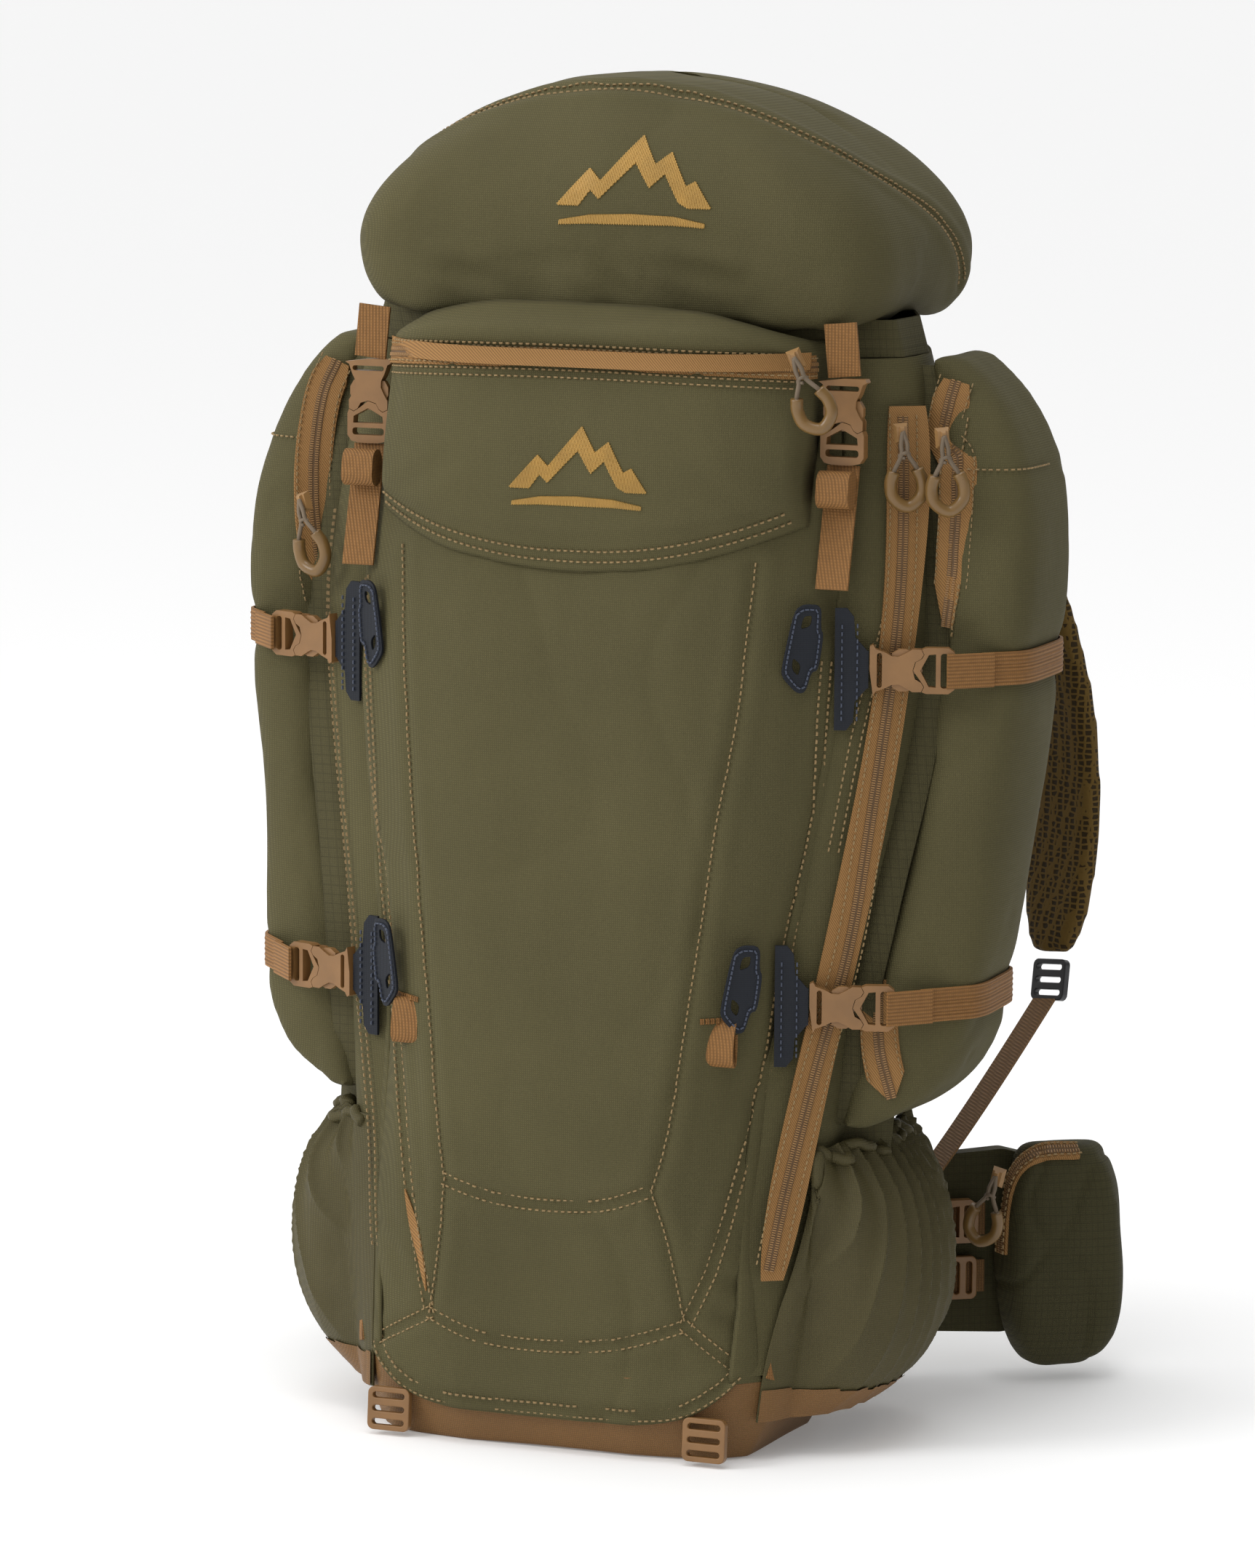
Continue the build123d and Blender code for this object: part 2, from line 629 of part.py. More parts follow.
ADJUSTER = (186, 262, 238)
ANCHOR = (129, 124, 96)
for side, sign in SIDES:
    with BuildPart() as shoulder_strap:
        loft([strap_section(index, sign) for index in range(len(STRAP_ROUTE))])
    save(shoulder_strap, f"shoulder_strap_{side}")

    adjuster_plane = Plane(
        (sign * ADJUSTER[0], ADJUSTER[1], ADJUSTER[2]), x_dir=(0, 0.25, 1), z_dir=(-sign * 0.4, -0.9, 0.23)
    )
    with BuildPart() as strap_adjuster:
        with Locations(adjuster_plane.location):
            add(ladder_shape.part)
    save(strap_adjuster, f"strap_adjuster_{side}")

    with BuildPart() as harness_webbing:
        add(bar((sign * 184, 255, 226), (sign * ANCHOR[0], *ANCHOR[1:]), (0.8 * sign, -0.6, 0), WEB, WEB_T))
        add(bar((sign * 92, 226, 583), (sign * 88, back_y(592) + 9, 592), (1, 0, 0), WEB, WEB_T))
    save(harness_webbing, f"harness_webbing_{side}")

    with BuildPart() as sternum_strap:
        chest = (sign * 134, 280, 424)
        tip = (sign * 84, 290, 398)
        add(bar(chest, tip, (0.45, 0, 0.9 * sign) if sign < 0 else (-0.45, 0, 0.9), WEB, WEB_T))
        flat = Plane((sign * 74, 291.6, 392.6), x_dir=(sign, -0.2, 0.5), z_dir=(sign * 0.18, 0.98, 0))
        with Locations(flat.location):
            add(clip_shape.part if sign > 0 else receiver_shape.part)
    save(sternum_strap, f"sternum_strap_{side}")

# ---------------------------------------------------------------- hip belt
BELT_ROOT = (80, 140)
BELT_TURN = radians(35)
BELT_LOW = 25
BELT_HIGH = 141
BELT_T = 12
BELT_L = 190


def belt_point(along, out, sign=1):
    """A plan point along the wing from its root, out millimetres proud of its outer face's middle."""
    x = BELT_ROOT[0] + along * cos(BELT_TURN) + out * sin(BELT_TURN)
    y = BELT_ROOT[1] + along * sin(BELT_TURN) - out * cos(BELT_TURN)
    return (sign * x, y)


def belt_plane(along, out, z, sign):
    """A frame on the wing's outer face: x along the wing, z proud of it."""
    x, y = belt_point(along, out, sign)
    return Plane(
        (x, y, z), x_dir=(sign * cos(BELT_TURN), sin(BELT_TURN), 0), z_dir=(sign * sin(BELT_TURN), -cos(BELT_TURN), 0)
    )


for side, sign in SIDES:
    with BuildPart() as belt_wing:
        with BuildSketch(belt_plane(BELT_L / 2, -BELT_T / 2, (BELT_LOW + BELT_HIGH) / 2, sign)):
            with BuildLine():
                Polyline(
                    (-BELT_L / 2, -52), (20, -58), (BELT_L / 2, -46), (BELT_L / 2, 38), (20, 58),
                    (-BELT_L / 2, 50), close=True,
                )
            make_face()
            fillet(vertices(), 14)
        extrude(amount=BELT_T)
        fillet(belt_wing.edges().filter_by(Axis.Z, reverse=True).group_by(SortBy.LENGTH)[0], 0.5)
    save(belt_wing, f"belt_wing_{side}")

    with BuildPart() as hip_pocket:
        pocket_levels = ((7, 0.55), (30, 0.9), (75, 1), (120, 0.92), (148, 0.6))
        sections = []
        for z, fullness in pocket_levels:
            inset = 40 * (1 - fullness)
            outline = [
                belt_point(106 + inset, 7, sign), belt_point(114 + inset, 7 + 40 * fullness, sign),
                belt_point(180 - inset, 7 + 44 * fullness, sign), belt_point(192 - inset, 7, sign),
            ]
            sections.append(closed_face(z, outline, 9 * fullness))
        loft(sections)
    save(hip_pocket, f"hip_pocket_{side}")

    with BuildPart() as belt_webbing:
        for z in (62, 98):
            with BuildSketch(belt_plane(57, 7.6, z, sign)):
                Rectangle(92, WEB)
            extrude(amount=WEB_T)
    save(belt_webbing, f"belt_webbing_{side}")

    with BuildPart() as belt_buckles:
        with Locations(belt_plane(84, 12, 62, sign).location):
            add(ladder_shape.part)
        with Locations(belt_plane(76, 13.2, 98, sign).location):
            add(receiver_shape.part)
            add(clip_shape.part)
    save(belt_buckles, f"belt_buckles_{side}")

# ---------------------------------------------------------------- zip sliders


def slider_part(plane):
    with BuildPart() as placed:
        with Locations(plane.location):
            add(slider_shape.part)
    return placed


proud_of_side = (sin(SIDE_TURN), -cos(SIDE_TURN), 0)
along_side = (cos(SIDE_TURN), sin(SIDE_TURN), 0)
main_slider_plane = Plane(beside_corner(600, 29, 19), x_dir=along_side, z_dir=proud_of_side)
save(slider_part(main_slider_plane), "main_zip_slider")

pocket_slider_plane = Plane((124, -60, 646), x_dir=(0.9, 0.44, 0), z_dir=(0.44, -0.9, 0))
save(slider_part(pocket_slider_plane), "pocket_zip_slider")

for side, sign, z in (("left", -1, 546), ("right", 1, 606)):
    x, y = 204, -6 if z < 560 else 4
    pod_slider_plane = Plane((sign * x, y, z), x_dir=(sign * 0.82, 0.57, 0), z_dir=(sign * 0.57, -0.82, 0))
    save(slider_part(pod_slider_plane), f"pod_zip_slider_{side}")

for side, sign in SIDES:
    hip_slider_plane = belt_plane(128, 52, 112, sign)
    save(slider_part(hip_slider_plane), f"hip_zip_slider_{side}")
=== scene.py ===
import json
from math import cos, pi, radians, sin, tau

import bmesh
import bpy
from mathutils import Matrix, Vector, noise
from mathutils.bvhtree import BVHTree
from mathutils.kdtree import KDTree


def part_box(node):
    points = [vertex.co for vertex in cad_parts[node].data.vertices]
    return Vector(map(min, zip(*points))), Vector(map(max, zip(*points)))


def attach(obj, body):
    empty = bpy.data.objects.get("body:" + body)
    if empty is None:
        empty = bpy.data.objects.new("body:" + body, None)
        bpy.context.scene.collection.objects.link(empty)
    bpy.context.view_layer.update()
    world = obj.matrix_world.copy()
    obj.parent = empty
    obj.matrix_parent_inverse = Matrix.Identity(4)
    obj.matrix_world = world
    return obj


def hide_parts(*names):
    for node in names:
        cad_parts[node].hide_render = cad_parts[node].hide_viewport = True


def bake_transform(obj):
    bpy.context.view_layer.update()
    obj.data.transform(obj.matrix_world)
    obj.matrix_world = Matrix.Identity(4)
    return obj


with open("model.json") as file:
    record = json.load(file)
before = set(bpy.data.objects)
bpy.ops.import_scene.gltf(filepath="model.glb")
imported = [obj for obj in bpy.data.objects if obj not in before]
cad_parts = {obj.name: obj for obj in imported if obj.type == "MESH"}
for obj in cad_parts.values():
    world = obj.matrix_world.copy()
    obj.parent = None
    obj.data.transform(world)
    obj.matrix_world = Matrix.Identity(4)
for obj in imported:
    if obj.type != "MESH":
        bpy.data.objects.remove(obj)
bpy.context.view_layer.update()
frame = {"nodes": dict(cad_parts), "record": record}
SIDES = (("left", -1), ("right", 1))
MM = 0.001
UP, FORWARD, BACKWARD = Vector((0, 0, 1)), Vector((0, -1, 0)), Vector((0, 1, 0))
THREAD_STEP = 0.0006  # how finely a line of stitches follows the cloth
WEBBING_WIDTH = 0.020
STRAP_LEVELS = (("upper", 0.467), ("lower", 0.270))  # heights of the compression straps


def placed(name, data):
    """A new object in the scene."""
    ob = bpy.data.objects.new(name, data)
    bpy.context.collection.objects.link(ob)
    return ob


# ---------------- stage, light and camera
AZIMUTH, ELEVATION, ROLL = radians(22), radians(8.3), radians(0.4)
DISTANCE = 4.25
AIM = Vector((0.0326, -0.065, 0.3955))
LENS_MM = 166.0


def make_stage():
    world = bpy.data.worlds.new("studio")
    bpy.context.scene.world = world
    world.use_nodes = True
    back = world.node_tree.nodes["Background"]
    back.inputs["Color"].default_value = (1.0, 1.0, 1.0, 1)
    tree = world.node_tree
    place = tree.nodes.new("ShaderNodeTexCoord")
    axes = tree.nodes.new("ShaderNodeSeparateXYZ")
    fade = tree.nodes.new("ShaderNodeMapRange")
    fade.interpolation_type = "SMOOTHSTEP"
    for slot, value in ((1, 0.1), (2, 0.75), (3, 1.03), (4, 0.2)):
        fade.inputs[slot].default_value = value
    tree.links.new(place.outputs["Generated"], axes.inputs[0])
    tree.links.new(axes.outputs["X"], fade.inputs[0])
    tree.links.new(fade.outputs[0], back.inputs["Strength"])
    bpy.context.scene.view_settings.view_transform = "Standard"
    bpy.context.scene.view_settings.look = "None"
    mesh = bpy.data.meshes.new("floor")
    size = 40
    mesh.from_pydata([(-size, -size, 0), (size, -size, 0), (size, size, 0), (-size, size, 0)], [],
            [(0, 1, 2, 3)])
    floor = placed("floor", mesh)
    paint = bpy.data.materials.new("floor_paint")
    paint.use_nodes = True
    for socket, value in (("Base Color", (0.9, 0.9, 0.9, 1)), ("Roughness", 0.9),
                          ("Emission Color", (1, 1, 1, 1)), ("Emission Strength", 0.16)):
        paint.node_tree.nodes["Principled BSDF"].inputs[socket].default_value = value
    mesh.materials.append(paint)
    for name, place, energy, extent in (
        ("key", (-2.8, -2.6, 2.6), 62, 1.6),
        ("top", (0.2, -0.4, 3.4), 26, 1.6),
    ):
        lamp = bpy.data.lights.new(name, "AREA")
        lamp.energy = energy
        lamp.size = extent
        ob = placed(name, lamp)
        ob.location = place
        ob.rotation_euler = (Vector((0, 0, 0.4)) - Vector(place)).to_track_quat("-Z", "Y").to_euler()


def make_camera():
    toward = Vector((sin(AZIMUTH) * cos(ELEVATION), -cos(AZIMUTH) * cos(ELEVATION), sin(ELEVATION)))
    right = Vector((cos(AZIMUTH), sin(AZIMUTH), 0))
    up = toward.cross(right)
    turn = Matrix((right, up, toward)).transposed().to_4x4() @ Matrix.Rotation(ROLL, 4, "Z")
    data = bpy.data.cameras.new("camera")
    data.lens = LENS_MM
    data.sensor_fit = "VERTICAL"
    data.sensor_height = 36
    ob = placed("camera", data)
    ob.matrix_world = Matrix.Translation(AIM + toward * DISTANCE) @ turn
    bpy.context.scene.camera = ob


make_stage()
make_camera()

# ---------------- materials


class Nodes:
    """A short way to write a material's node tree."""

    def __init__(self, name, roughness):
        self.material = bpy.data.materials.new(name)
        self.material.use_nodes = True
        self.tree = self.material.node_tree
        self.shader = self.tree.nodes["Principled BSDF"]
        self.shader.inputs["Roughness"].default_value = roughness
        self.place = self.add("ShaderNodeTexCoord").outputs["Object"]
        self.heights = []

    def add(self, kind, **settings):
        node = self.tree.nodes.new(kind)
        for key, value in settings.items():
            setattr(node, key, value)
        return node

    def put(self, socket, value):
        if hasattr(value, "is_output"):
            self.tree.links.new(value, socket)
        else:
            socket.default_value = value

    def math(self, operation, a, b=0.0, c=0.0):
        node = self.add("ShaderNodeMath", operation=operation)
        for socket, value in zip(node.inputs, (a, b, c)):
            self.put(socket, value)
        return node.outputs[0]

    def noise(self, scale, detail=3, place=None):
        node = self.add("ShaderNodeTexNoise")
        self.put(node.inputs["Vector"], place or self.place)
        node.inputs["Scale"].default_value = scale
        node.inputs["Detail"].default_value = detail
        return node.outputs[0]

    def stretch(self, scale, turn=(0, 0, 0), place=None):
        node = self.add("ShaderNodeMapping")
        self.put(node.inputs["Vector"], place or self.place)
        node.inputs["Scale"].default_value = scale
        node.inputs["Rotation"].default_value = turn
        return node.outputs[0]

    def ramp(self, value, low, high, low_at=0.0, high_at=1.0):
        node = self.add("ShaderNodeValToRGB")
        self.put(node.inputs[0], value)
        node.color_ramp.elements[0].position = low_at
        node.color_ramp.elements[1].position = high_at
        node.color_ramp.elements[0].color = (*low, 1)
        node.color_ramp.elements[1].color = (*high, 1)
        return node.outputs[0]

    def bump(self, height, distance, strength=1.0):
        node = self.add("ShaderNodeBump")
        node.inputs["Strength"].default_value = strength
        node.inputs["Distance"].default_value = distance
        self.put(node.inputs["Height"], height)
        if self.heights:
            self.put(node.inputs["Normal"], self.heights[-1])
        self.heights.append(node.outputs[0])
        self.put(self.shader.inputs["Normal"], node.outputs[0])

    def color(self, value):
        self.put(self.shader.inputs["Base Color"], value)

    def gloss(self, value):
        self.shader.inputs["Specular IOR Level"].default_value = value

    def axes(self):
        node = self.add("ShaderNodeSeparateXYZ")
        self.put(node.inputs[0], self.place)
        return node.outputs

    def waves(self, axis, period):
        """0 to 1 ridges along one axis."""
        swing = self.math("SINE", self.math("MULTIPLY", axis, tau / period))
        return self.math("MULTIPLY_ADD", swing, 0.5, 0.5)


def shade(color, factor):
    return tuple(min(1, c * factor) for c in color)


def cloth_material(name, color, roughness=0.82, weave=0.0013, ripstop=0.0, fold=0.002, gloss=0.22):
    """Woven cloth: fine threads both ways, soft mottling and small creases."""
    n = Nodes(name, roughness)
    x, y, z = n.axes()
    across = n.waves(n.math("ADD", x, n.math("MULTIPLY", y, 0.8)), weave)
    along = n.waves(z, weave)
    threads = n.math("MULTIPLY", across, along)
    mottle = n.noise(9, 4)
    fine = n.noise(900, 2)
    tone = n.math("ADD", n.math("MULTIPLY", mottle, 0.6), n.math("MULTIPLY", fine, 0.4))
    base = n.ramp(tone, shade(color, 0.86), shade(color, 1.14), 0.3, 0.7)
    if ripstop:
        lines_a = n.math("GREATER_THAN", n.waves(n.math("ADD", x, n.math("MULTIPLY", y, 0.9)), ripstop), 0.97)
        lines_b = n.math("GREATER_THAN", n.waves(z, ripstop), 0.97)
        grid = n.math("MAXIMUM", lines_a, lines_b)
        mix = n.add("ShaderNodeMix", data_type="RGBA")
        n.put(mix.inputs[0], n.math("MULTIPLY", grid, 0.35))
        n.put(mix.inputs[6], base)
        mix.inputs[7].default_value = (*shade(color, 0.45), 1)
        base = mix.outputs[2]
        n.bump(grid, 0.0003, 0.5)
    weft = n.add("ShaderNodeMix", data_type="RGBA", blend_type="MULTIPLY")
    weft.inputs[0].default_value = 0.55
    n.put(weft.inputs[6], base)
    n.put(weft.inputs[7], n.ramp(threads, (0.55, 0.55, 0.55), (1.25, 1.25, 1.25), 0, 1))
    n.color(weft.outputs[2])
    n.gloss(gloss)
    n.bump(n.noise(17, 5), fold * 1.5, 0.6)
    n.bump(n.noise(60, 4, n.stretch((1, 1, 0.4))), fold * 0.5, 0.6)
    n.bump(threads, 0.0003, 0.7)
    return n.material


def webbing_material(name, color, along="x"):
    """Flat woven webbing: ribs across and rows of picks along it."""
    n = Nodes(name, 0.66)
    n.gloss(0.25)
    x, y, z = n.axes()
    run = n.math("ADD", x, n.math("MULTIPLY", y, 0.9)) if along == "x" else z
    wide = z if along == "x" else n.math("ADD", x, y)
    rows = n.waves(wide, 0.0021)
    picks = n.waves(run, 0.0017)
    height = n.math("MULTIPLY", rows, n.math("MULTIPLY_ADD", picks, 0.6, 0.4))
    tone = n.math("ADD", n.math("MULTIPLY", height, 0.7), n.math("MULTIPLY", n.noise(260, 2), 0.3))
    n.color(n.ramp(tone, shade(color, 0.62), shade(color, 1.25), 0.1, 0.8))
    n.bump(height, 0.0005, 0.8)
    return n.material


def zip_tape_material(name, color):
    """Zip tape in a diagonal herringbone twill."""
    n = Nodes(name, 0.72)
    n.gloss(0.25)
    x, y, z = n.axes()
    slope = n.math("ADD", n.math("ADD", x, y), n.math("MULTIPLY", z, 0.9))
    twill = n.waves(slope, 0.0019)
    n.color(n.ramp(twill, shade(color, 0.72), shade(color, 1.18), 0.1, 0.9))
    n.bump(twill, 0.0003, 0.7)
    return n.material


def plastic_material(name, color, roughness=0.42):
    """Moulded acetal with a fine spark-eroded grain and slight colour drift."""
    n = Nodes(name, roughness)
    n.color(n.ramp(n.noise(60, 3), shade(color, 0.9), shade(color, 1.1), 0.3, 0.7))
    n.bump(n.noise(2600, 2), 0.00005, 0.5)
    n.put(n.shader.inputs["Roughness"], n.math("MULTIPLY_ADD", n.noise(150, 2), 0.2, roughness - 0.1))
    return n.material


def mesh_material(name, color):
    """Spacer mesh: round open cells, sunk in, with painted shade inside them between lighter walls."""
    n = Nodes(name, 0.8)
    n.gloss(0.2)
    cells = n.add("ShaderNodeTexVoronoi", feature="DISTANCE_TO_EDGE")
    n.put(cells.inputs["Vector"], n.stretch((1, 1, 1.35)))
    cells.inputs["Scale"].default_value = 200
    cells.inputs["Randomness"].default_value = 0.35
    # the cells' insides are painted dark as shade in the holes; the walls between them are lighter
    wall = n.math("LESS_THAN", cells.outputs[0], 0.16)
    n.color(n.ramp(wall, shade(color, 0.28), shade(color, 1.3), 0.0, 1.0))
    n.bump(cells.outputs[0], -0.0012, 0.9)
    return n.material


def sheet_material(name, color, roughness, weave):
    """A stiff laminate such as hypalon or carbon: small checks with a soft gloss."""
    n = Nodes(name, roughness)
    x, y, z = n.axes()
    n.gloss(0.3)
    check = n.math("MULTIPLY", n.waves(n.math("ADD", x, y), weave), n.waves(z, weave))
    n.color(n.ramp(check, shade(color, 0.8), shade(color, 1.6), 0, 1))
    n.bump(n.math("ADD", check, n.noise(700, 3)), 0.00012, 0.5)
    return n.material


OLIVE = (0.098, 0.085, 0.036)
COYOTE = (0.29, 0.15, 0.05)
PAINT = {
    "olive_fabric": cloth_material("olive_fabric", OLIVE),
    "pocket_fabric": cloth_material("pocket_fabric", (0.085, 0.071, 0.028), 0.6, fold=0.0022),
    "ripstop": cloth_material("ripstop", shade(OLIVE, 0.85), ripstop=0.0055, gloss=0.25),
    "base_fabric": cloth_material("base_fabric", (0.2, 0.1, 0.03), 0.6, fold=0.0012, gloss=0.35),
    "belt_fabric": cloth_material("belt_fabric", (0.058, 0.052, 0.021), 0.8, ripstop=0.005),
    "zip_tape": zip_tape_material("zip_tape", COYOTE),
    "webbing": webbing_material("webbing", (0.25, 0.12, 0.037)),
    "webbing_upright": webbing_material("webbing_upright", (0.25, 0.12, 0.037), "z"),
    "brown_webbing": webbing_material("brown_webbing", (0.19, 0.098, 0.035), "z"),
    "buckle_plastic": plastic_material("buckle_plastic", (0.22, 0.11, 0.036)),
    "pull_plastic": plastic_material("pull_plastic", (0.17, 0.095, 0.028), 0.32),
    "black_plastic": plastic_material("black_plastic", (0.02, 0.02, 0.022), 0.35),
    "hypalon": sheet_material("hypalon", (0.007, 0.009, 0.014), 0.6, 0.0012),
    "carbon": sheet_material("carbon", (0.02, 0.02, 0.022), 0.3, 0.004),
    "stay_metal": plastic_material("stay_metal", (0.5, 0.5, 0.52), 0.3),
    "mesh_foam": mesh_material("mesh_foam", (0.085, 0.05, 0.01)),
    "thread": plastic_material("thread", (0.27, 0.18, 0.078), 0.7),
    "coil_thread": plastic_material("coil_thread", (0.3, 0.165, 0.06), 0.45),
    "zip_shadow": plastic_material("zip_shadow", (0.12, 0.065, 0.025), 0.7),
    "tab_thread": plastic_material("tab_thread", (0.05, 0.06, 0.09), 0.6),
    "gold_thread": plastic_material("gold_thread", (0.46, 0.27, 0.06), 0.5),
    "taupe_cord": plastic_material("taupe_cord", (0.15, 0.11, 0.07), 0.7),
}
PAINT["stay_metal"].node_tree.nodes["Principled BSDF"].inputs["Metallic"].default_value = 1.0
SLOT_OF = {row["node"]: row["material_slot"] for row in frame["record"]["subparts"]}
UPRIGHT = {"lid_webbing", "lid_straps", "webbing_loops"}
for node, ob in frame["nodes"].items():
    paint_name = "webbing_upright" if node in UPRIGHT else SLOT_OF[node]
    if node == "top_collar":
        paint_name = "ripstop"
    ob.data.materials.clear()
    ob.data.materials.append(PAINT[paint_name])

# ---------------- mesh helpers


def new_object(name, verts, faces, paint, smooth=True):
    mesh = bpy.data.meshes.new(name)
    mesh.from_pydata([tuple(v) for v in verts], [], faces)
    mesh.validate()
    for polygon in mesh.polygons:
        polygon.use_smooth = smooth
    mesh.materials.append(PAINT[paint])
    return placed(name, mesh)


def apply_modifiers(ob):
    bpy.context.view_layer.update()
    shaped = bpy.data.meshes.new_from_object(ob.evaluated_get(bpy.context.evaluated_depsgraph_get()))
    old = ob.data
    ob.modifiers.clear()
    ob.data = shaped
    bpy.data.meshes.remove(old)
    for polygon in shaped.polygons:
        polygon.use_smooth = True


def surface(*objects):
    """A search tree over the faces of some objects, for laying things on them."""
    verts, faces = [], []
    for ob in objects:
        first = len(verts)
        verts += [v.co.copy() for v in ob.data.vertices]
        faces += [[first + i for i in p.vertices] for p in ob.data.polygons]
    return BVHTree.FromPolygons(verts, faces)


def mm(*points):
    return [Vector(p) * MM for p in points]


def mirrored(points):
    return [Vector((-p.x, p.y, p.z)) for p in points]


def smooth_path(points, step=0.002):
    """Catmull-Rom through the points, walked in equal steps."""
    p = [points[0] * 2 - points[1], *points, points[-1] * 2 - points[-2]]
    fine = []
    for i in range(1, len(p) - 2):
        for k in range(24):
            t = k / 24
            fine.append(0.5 * (2 * p[i] + (p[i + 1] - p[i - 1]) * t
                               + (2 * p[i - 1] - 5 * p[i] + 4 * p[i + 1] - p[i + 2]) * t * t
                               + (3 * p[i] - p[i - 1] - 3 * p[i + 1] + p[i + 2]) * t ** 3))
    fine.append(p[-2])
    out, left = [fine[0]], step
    for a, b in zip(fine, fine[1:]):
        length = (b - a).length
        while length > 1e-9 and left <= length:
            a = a.lerp(b, left / length)
            out.append(a)
            length = (b - a).length
            left = step
        left -= length
    return out


def laid(path, tree):
    """Each point moved to the nearest place on the surface, with the surface's outward normal there."""
    out = []
    for p in path:
        place, normal, _, _ = tree.find_nearest(p)
        out.append((place, normal))
    return out


def tangents(path):
    last = len(path) - 1
    return [(p, (path[min(i + 1, last)] - path[max(i - 1, 0)]).normalized()) for i, p in enumerate(path)]


def frames(spots):
    """Along, across and outward directions at each laid point."""
    out = []
    for i, (p, n) in enumerate(spots):
        a = spots[max(0, i - 1)][0]
        b = spots[min(len(spots) - 1, i + 1)][0]
        along = (b - a).normalized() if (b - a).length > 1e-9 else UP
        across = along.cross(n).normalized()
        out.append((p, along, across, across.cross(along).normalized()))
    return out


class Pile:
    """Many small solids gathered into one mesh."""

    def __init__(self):
        self.verts, self.faces = [], []

    def box(self, p, along, across, out, length, width, height):
        i = len(self.verts)
        for h in (0, height):
            shrink = 1.0 if h == 0 else 0.72
            for s, t in ((-1, -1), (1, -1), (1, 1), (-1, 1)):
                self.verts.append(p + along * (s * length / 2 * shrink) + across * (t * width / 2 * shrink)
                        + out * h)
        self.faces += [(i + 4, i + 5, i + 6, i + 7), (i + 1, i, i + 3, i + 2)]
        self.faces += [(i + a, i + b, i + b + 4, i + a + 4) for a, b in ((0, 1), (1, 2), (2, 3), (3, 0))]

    def bar(self, spots, width, height, edge=0.0, sink=0.0006):
        """A flat strip laid along frames; edge is how much its top is narrower each side."""
        i = len(self.verts)
        widths = width if isinstance(width, list) else [width] * len(spots)
        for (p, _, across, out), width in zip(spots, widths):
            for w, h in ((-width / 2, -sink), (-width / 2 + edge, height), (width / 2 - edge, height),
                    (width / 2, -sink)):
                self.verts.append(p + across * w + out * h)
        n = len(spots)
        for k in range(n - 1):
            a = i + 4 * k
            self.faces += [(a + j, a + (j + 1) % 4, a + 4 + (j + 1) % 4, a + 4 + j) for j in range(4)]
        self.faces += [(i, i + 3, i + 2, i + 1), (i + 4 * n - 4, i + 4 * n - 3, i + 4 * n - 2, i + 4 * n - 1)]

    def tube(self, points, radius, sides=8):
        i = len(self.verts)
        n = len(points)
        side = None
        for k, p in enumerate(points):
            along = (points[min(k + 1, n - 1)] - points[max(k - 1, 0)]).normalized()
            side = (side or along.orthogonal()) - along * along.dot(side or along.orthogonal())
            side.normalize()
            third = along.cross(side)
            for j in range(sides):
                self.verts.append(p + side * (radius * cos(tau * j / sides)) + third
                        * (radius * sin(tau * j / sides)))
        for k in range(n - 1):
            a, b = i + k * sides, i + (k + 1) * sides
            self.faces += [(a + j, a + (j + 1) % sides, b + (j + 1) % sides, b + j) for j in range(sides)]
        self.faces += [tuple(range(i + sides - 1, i - 1, -1)),
                tuple(range(i + (n - 1) * sides, i + n * sides))]

    def make(self, name, paint, body, smooth=False):
        if not self.verts:
            return None
        ob = new_object(name, self.verts, self.faces, paint, smooth)
        if body:
            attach(ob, body)
        return ob


def eased(points, times=6):
    """Neighbouring points averaged, so a line laid over cloth doesn't jitter."""
    p = list(points)
    for _ in range(times):
        p = [p[0]] + [(p[i - 1] + p[i] * 2 + p[i + 1]) / 4 for i in range(1, len(p) - 1)] + [p[-1]]
    return p


def seen(path, tree, from_way, lift=0.0):
    """Each point moved along a direction on to the first face met, with that face's normal."""
    way = Vector(from_way).normalized()
    out = []
    for p in path:
        hit, normal, _, _ = tree.ray_cast(p + way * 0.12, -way)
        if hit is None:
            hit, normal, _, _ = tree.find_nearest(p)
        out.append((hit, normal if normal.dot(way) > 0 else -normal))
    places = eased([p for p, _ in out])
    normals = eased([n for _, n in out], 12)
    return [(p + n.normalized() * (lift + 0.0004), n.normalized()) for p, n in zip(places, normals)]


def threaded(points, tree, way=FORWARD, lift=0.0):
    """Frames for a line of thread along points, laid on the cloth."""
    return frames(seen(smooth_path(points, THREAD_STEP), tree, way, lift))


def beside(spots, offset):
    return [(p + across * offset, along, across, out) for p, along, across, out in spots]


def stitch(pile, spots, pitch=0.0042, length=0.0026, width=0.001, height=0.0009):
    """Dashes of thread along laid frames."""
    walked = pitch
    for (p, along, across, out), (q, *_rest) in zip(spots, spots[1:]):
        gap = (q - p).length
        walked += gap
        if walked >= pitch:
            walked -= pitch
            pile.box(p + out * 0.0003, along, across, out, length, width, height)


def falloff(distance, width):
    return 2.718 ** -((distance / width) ** 2)


def seam_relief(path, depth=0.0013, width=0.0028, ridge=0.0009):
    """A sewn line pulls the cloth in along it and puffs it up beside it."""
    tree = KDTree(len(path))
    for i, p in enumerate(path):
        tree.insert(p, i)
    tree.balance()

    def height(p):
        _, _, d = tree.find(p)
        if d > 0.03:
            return 0.0
        return -depth * falloff(d, width) + ridge * falloff(d - 0.009, 0.006)
    return height


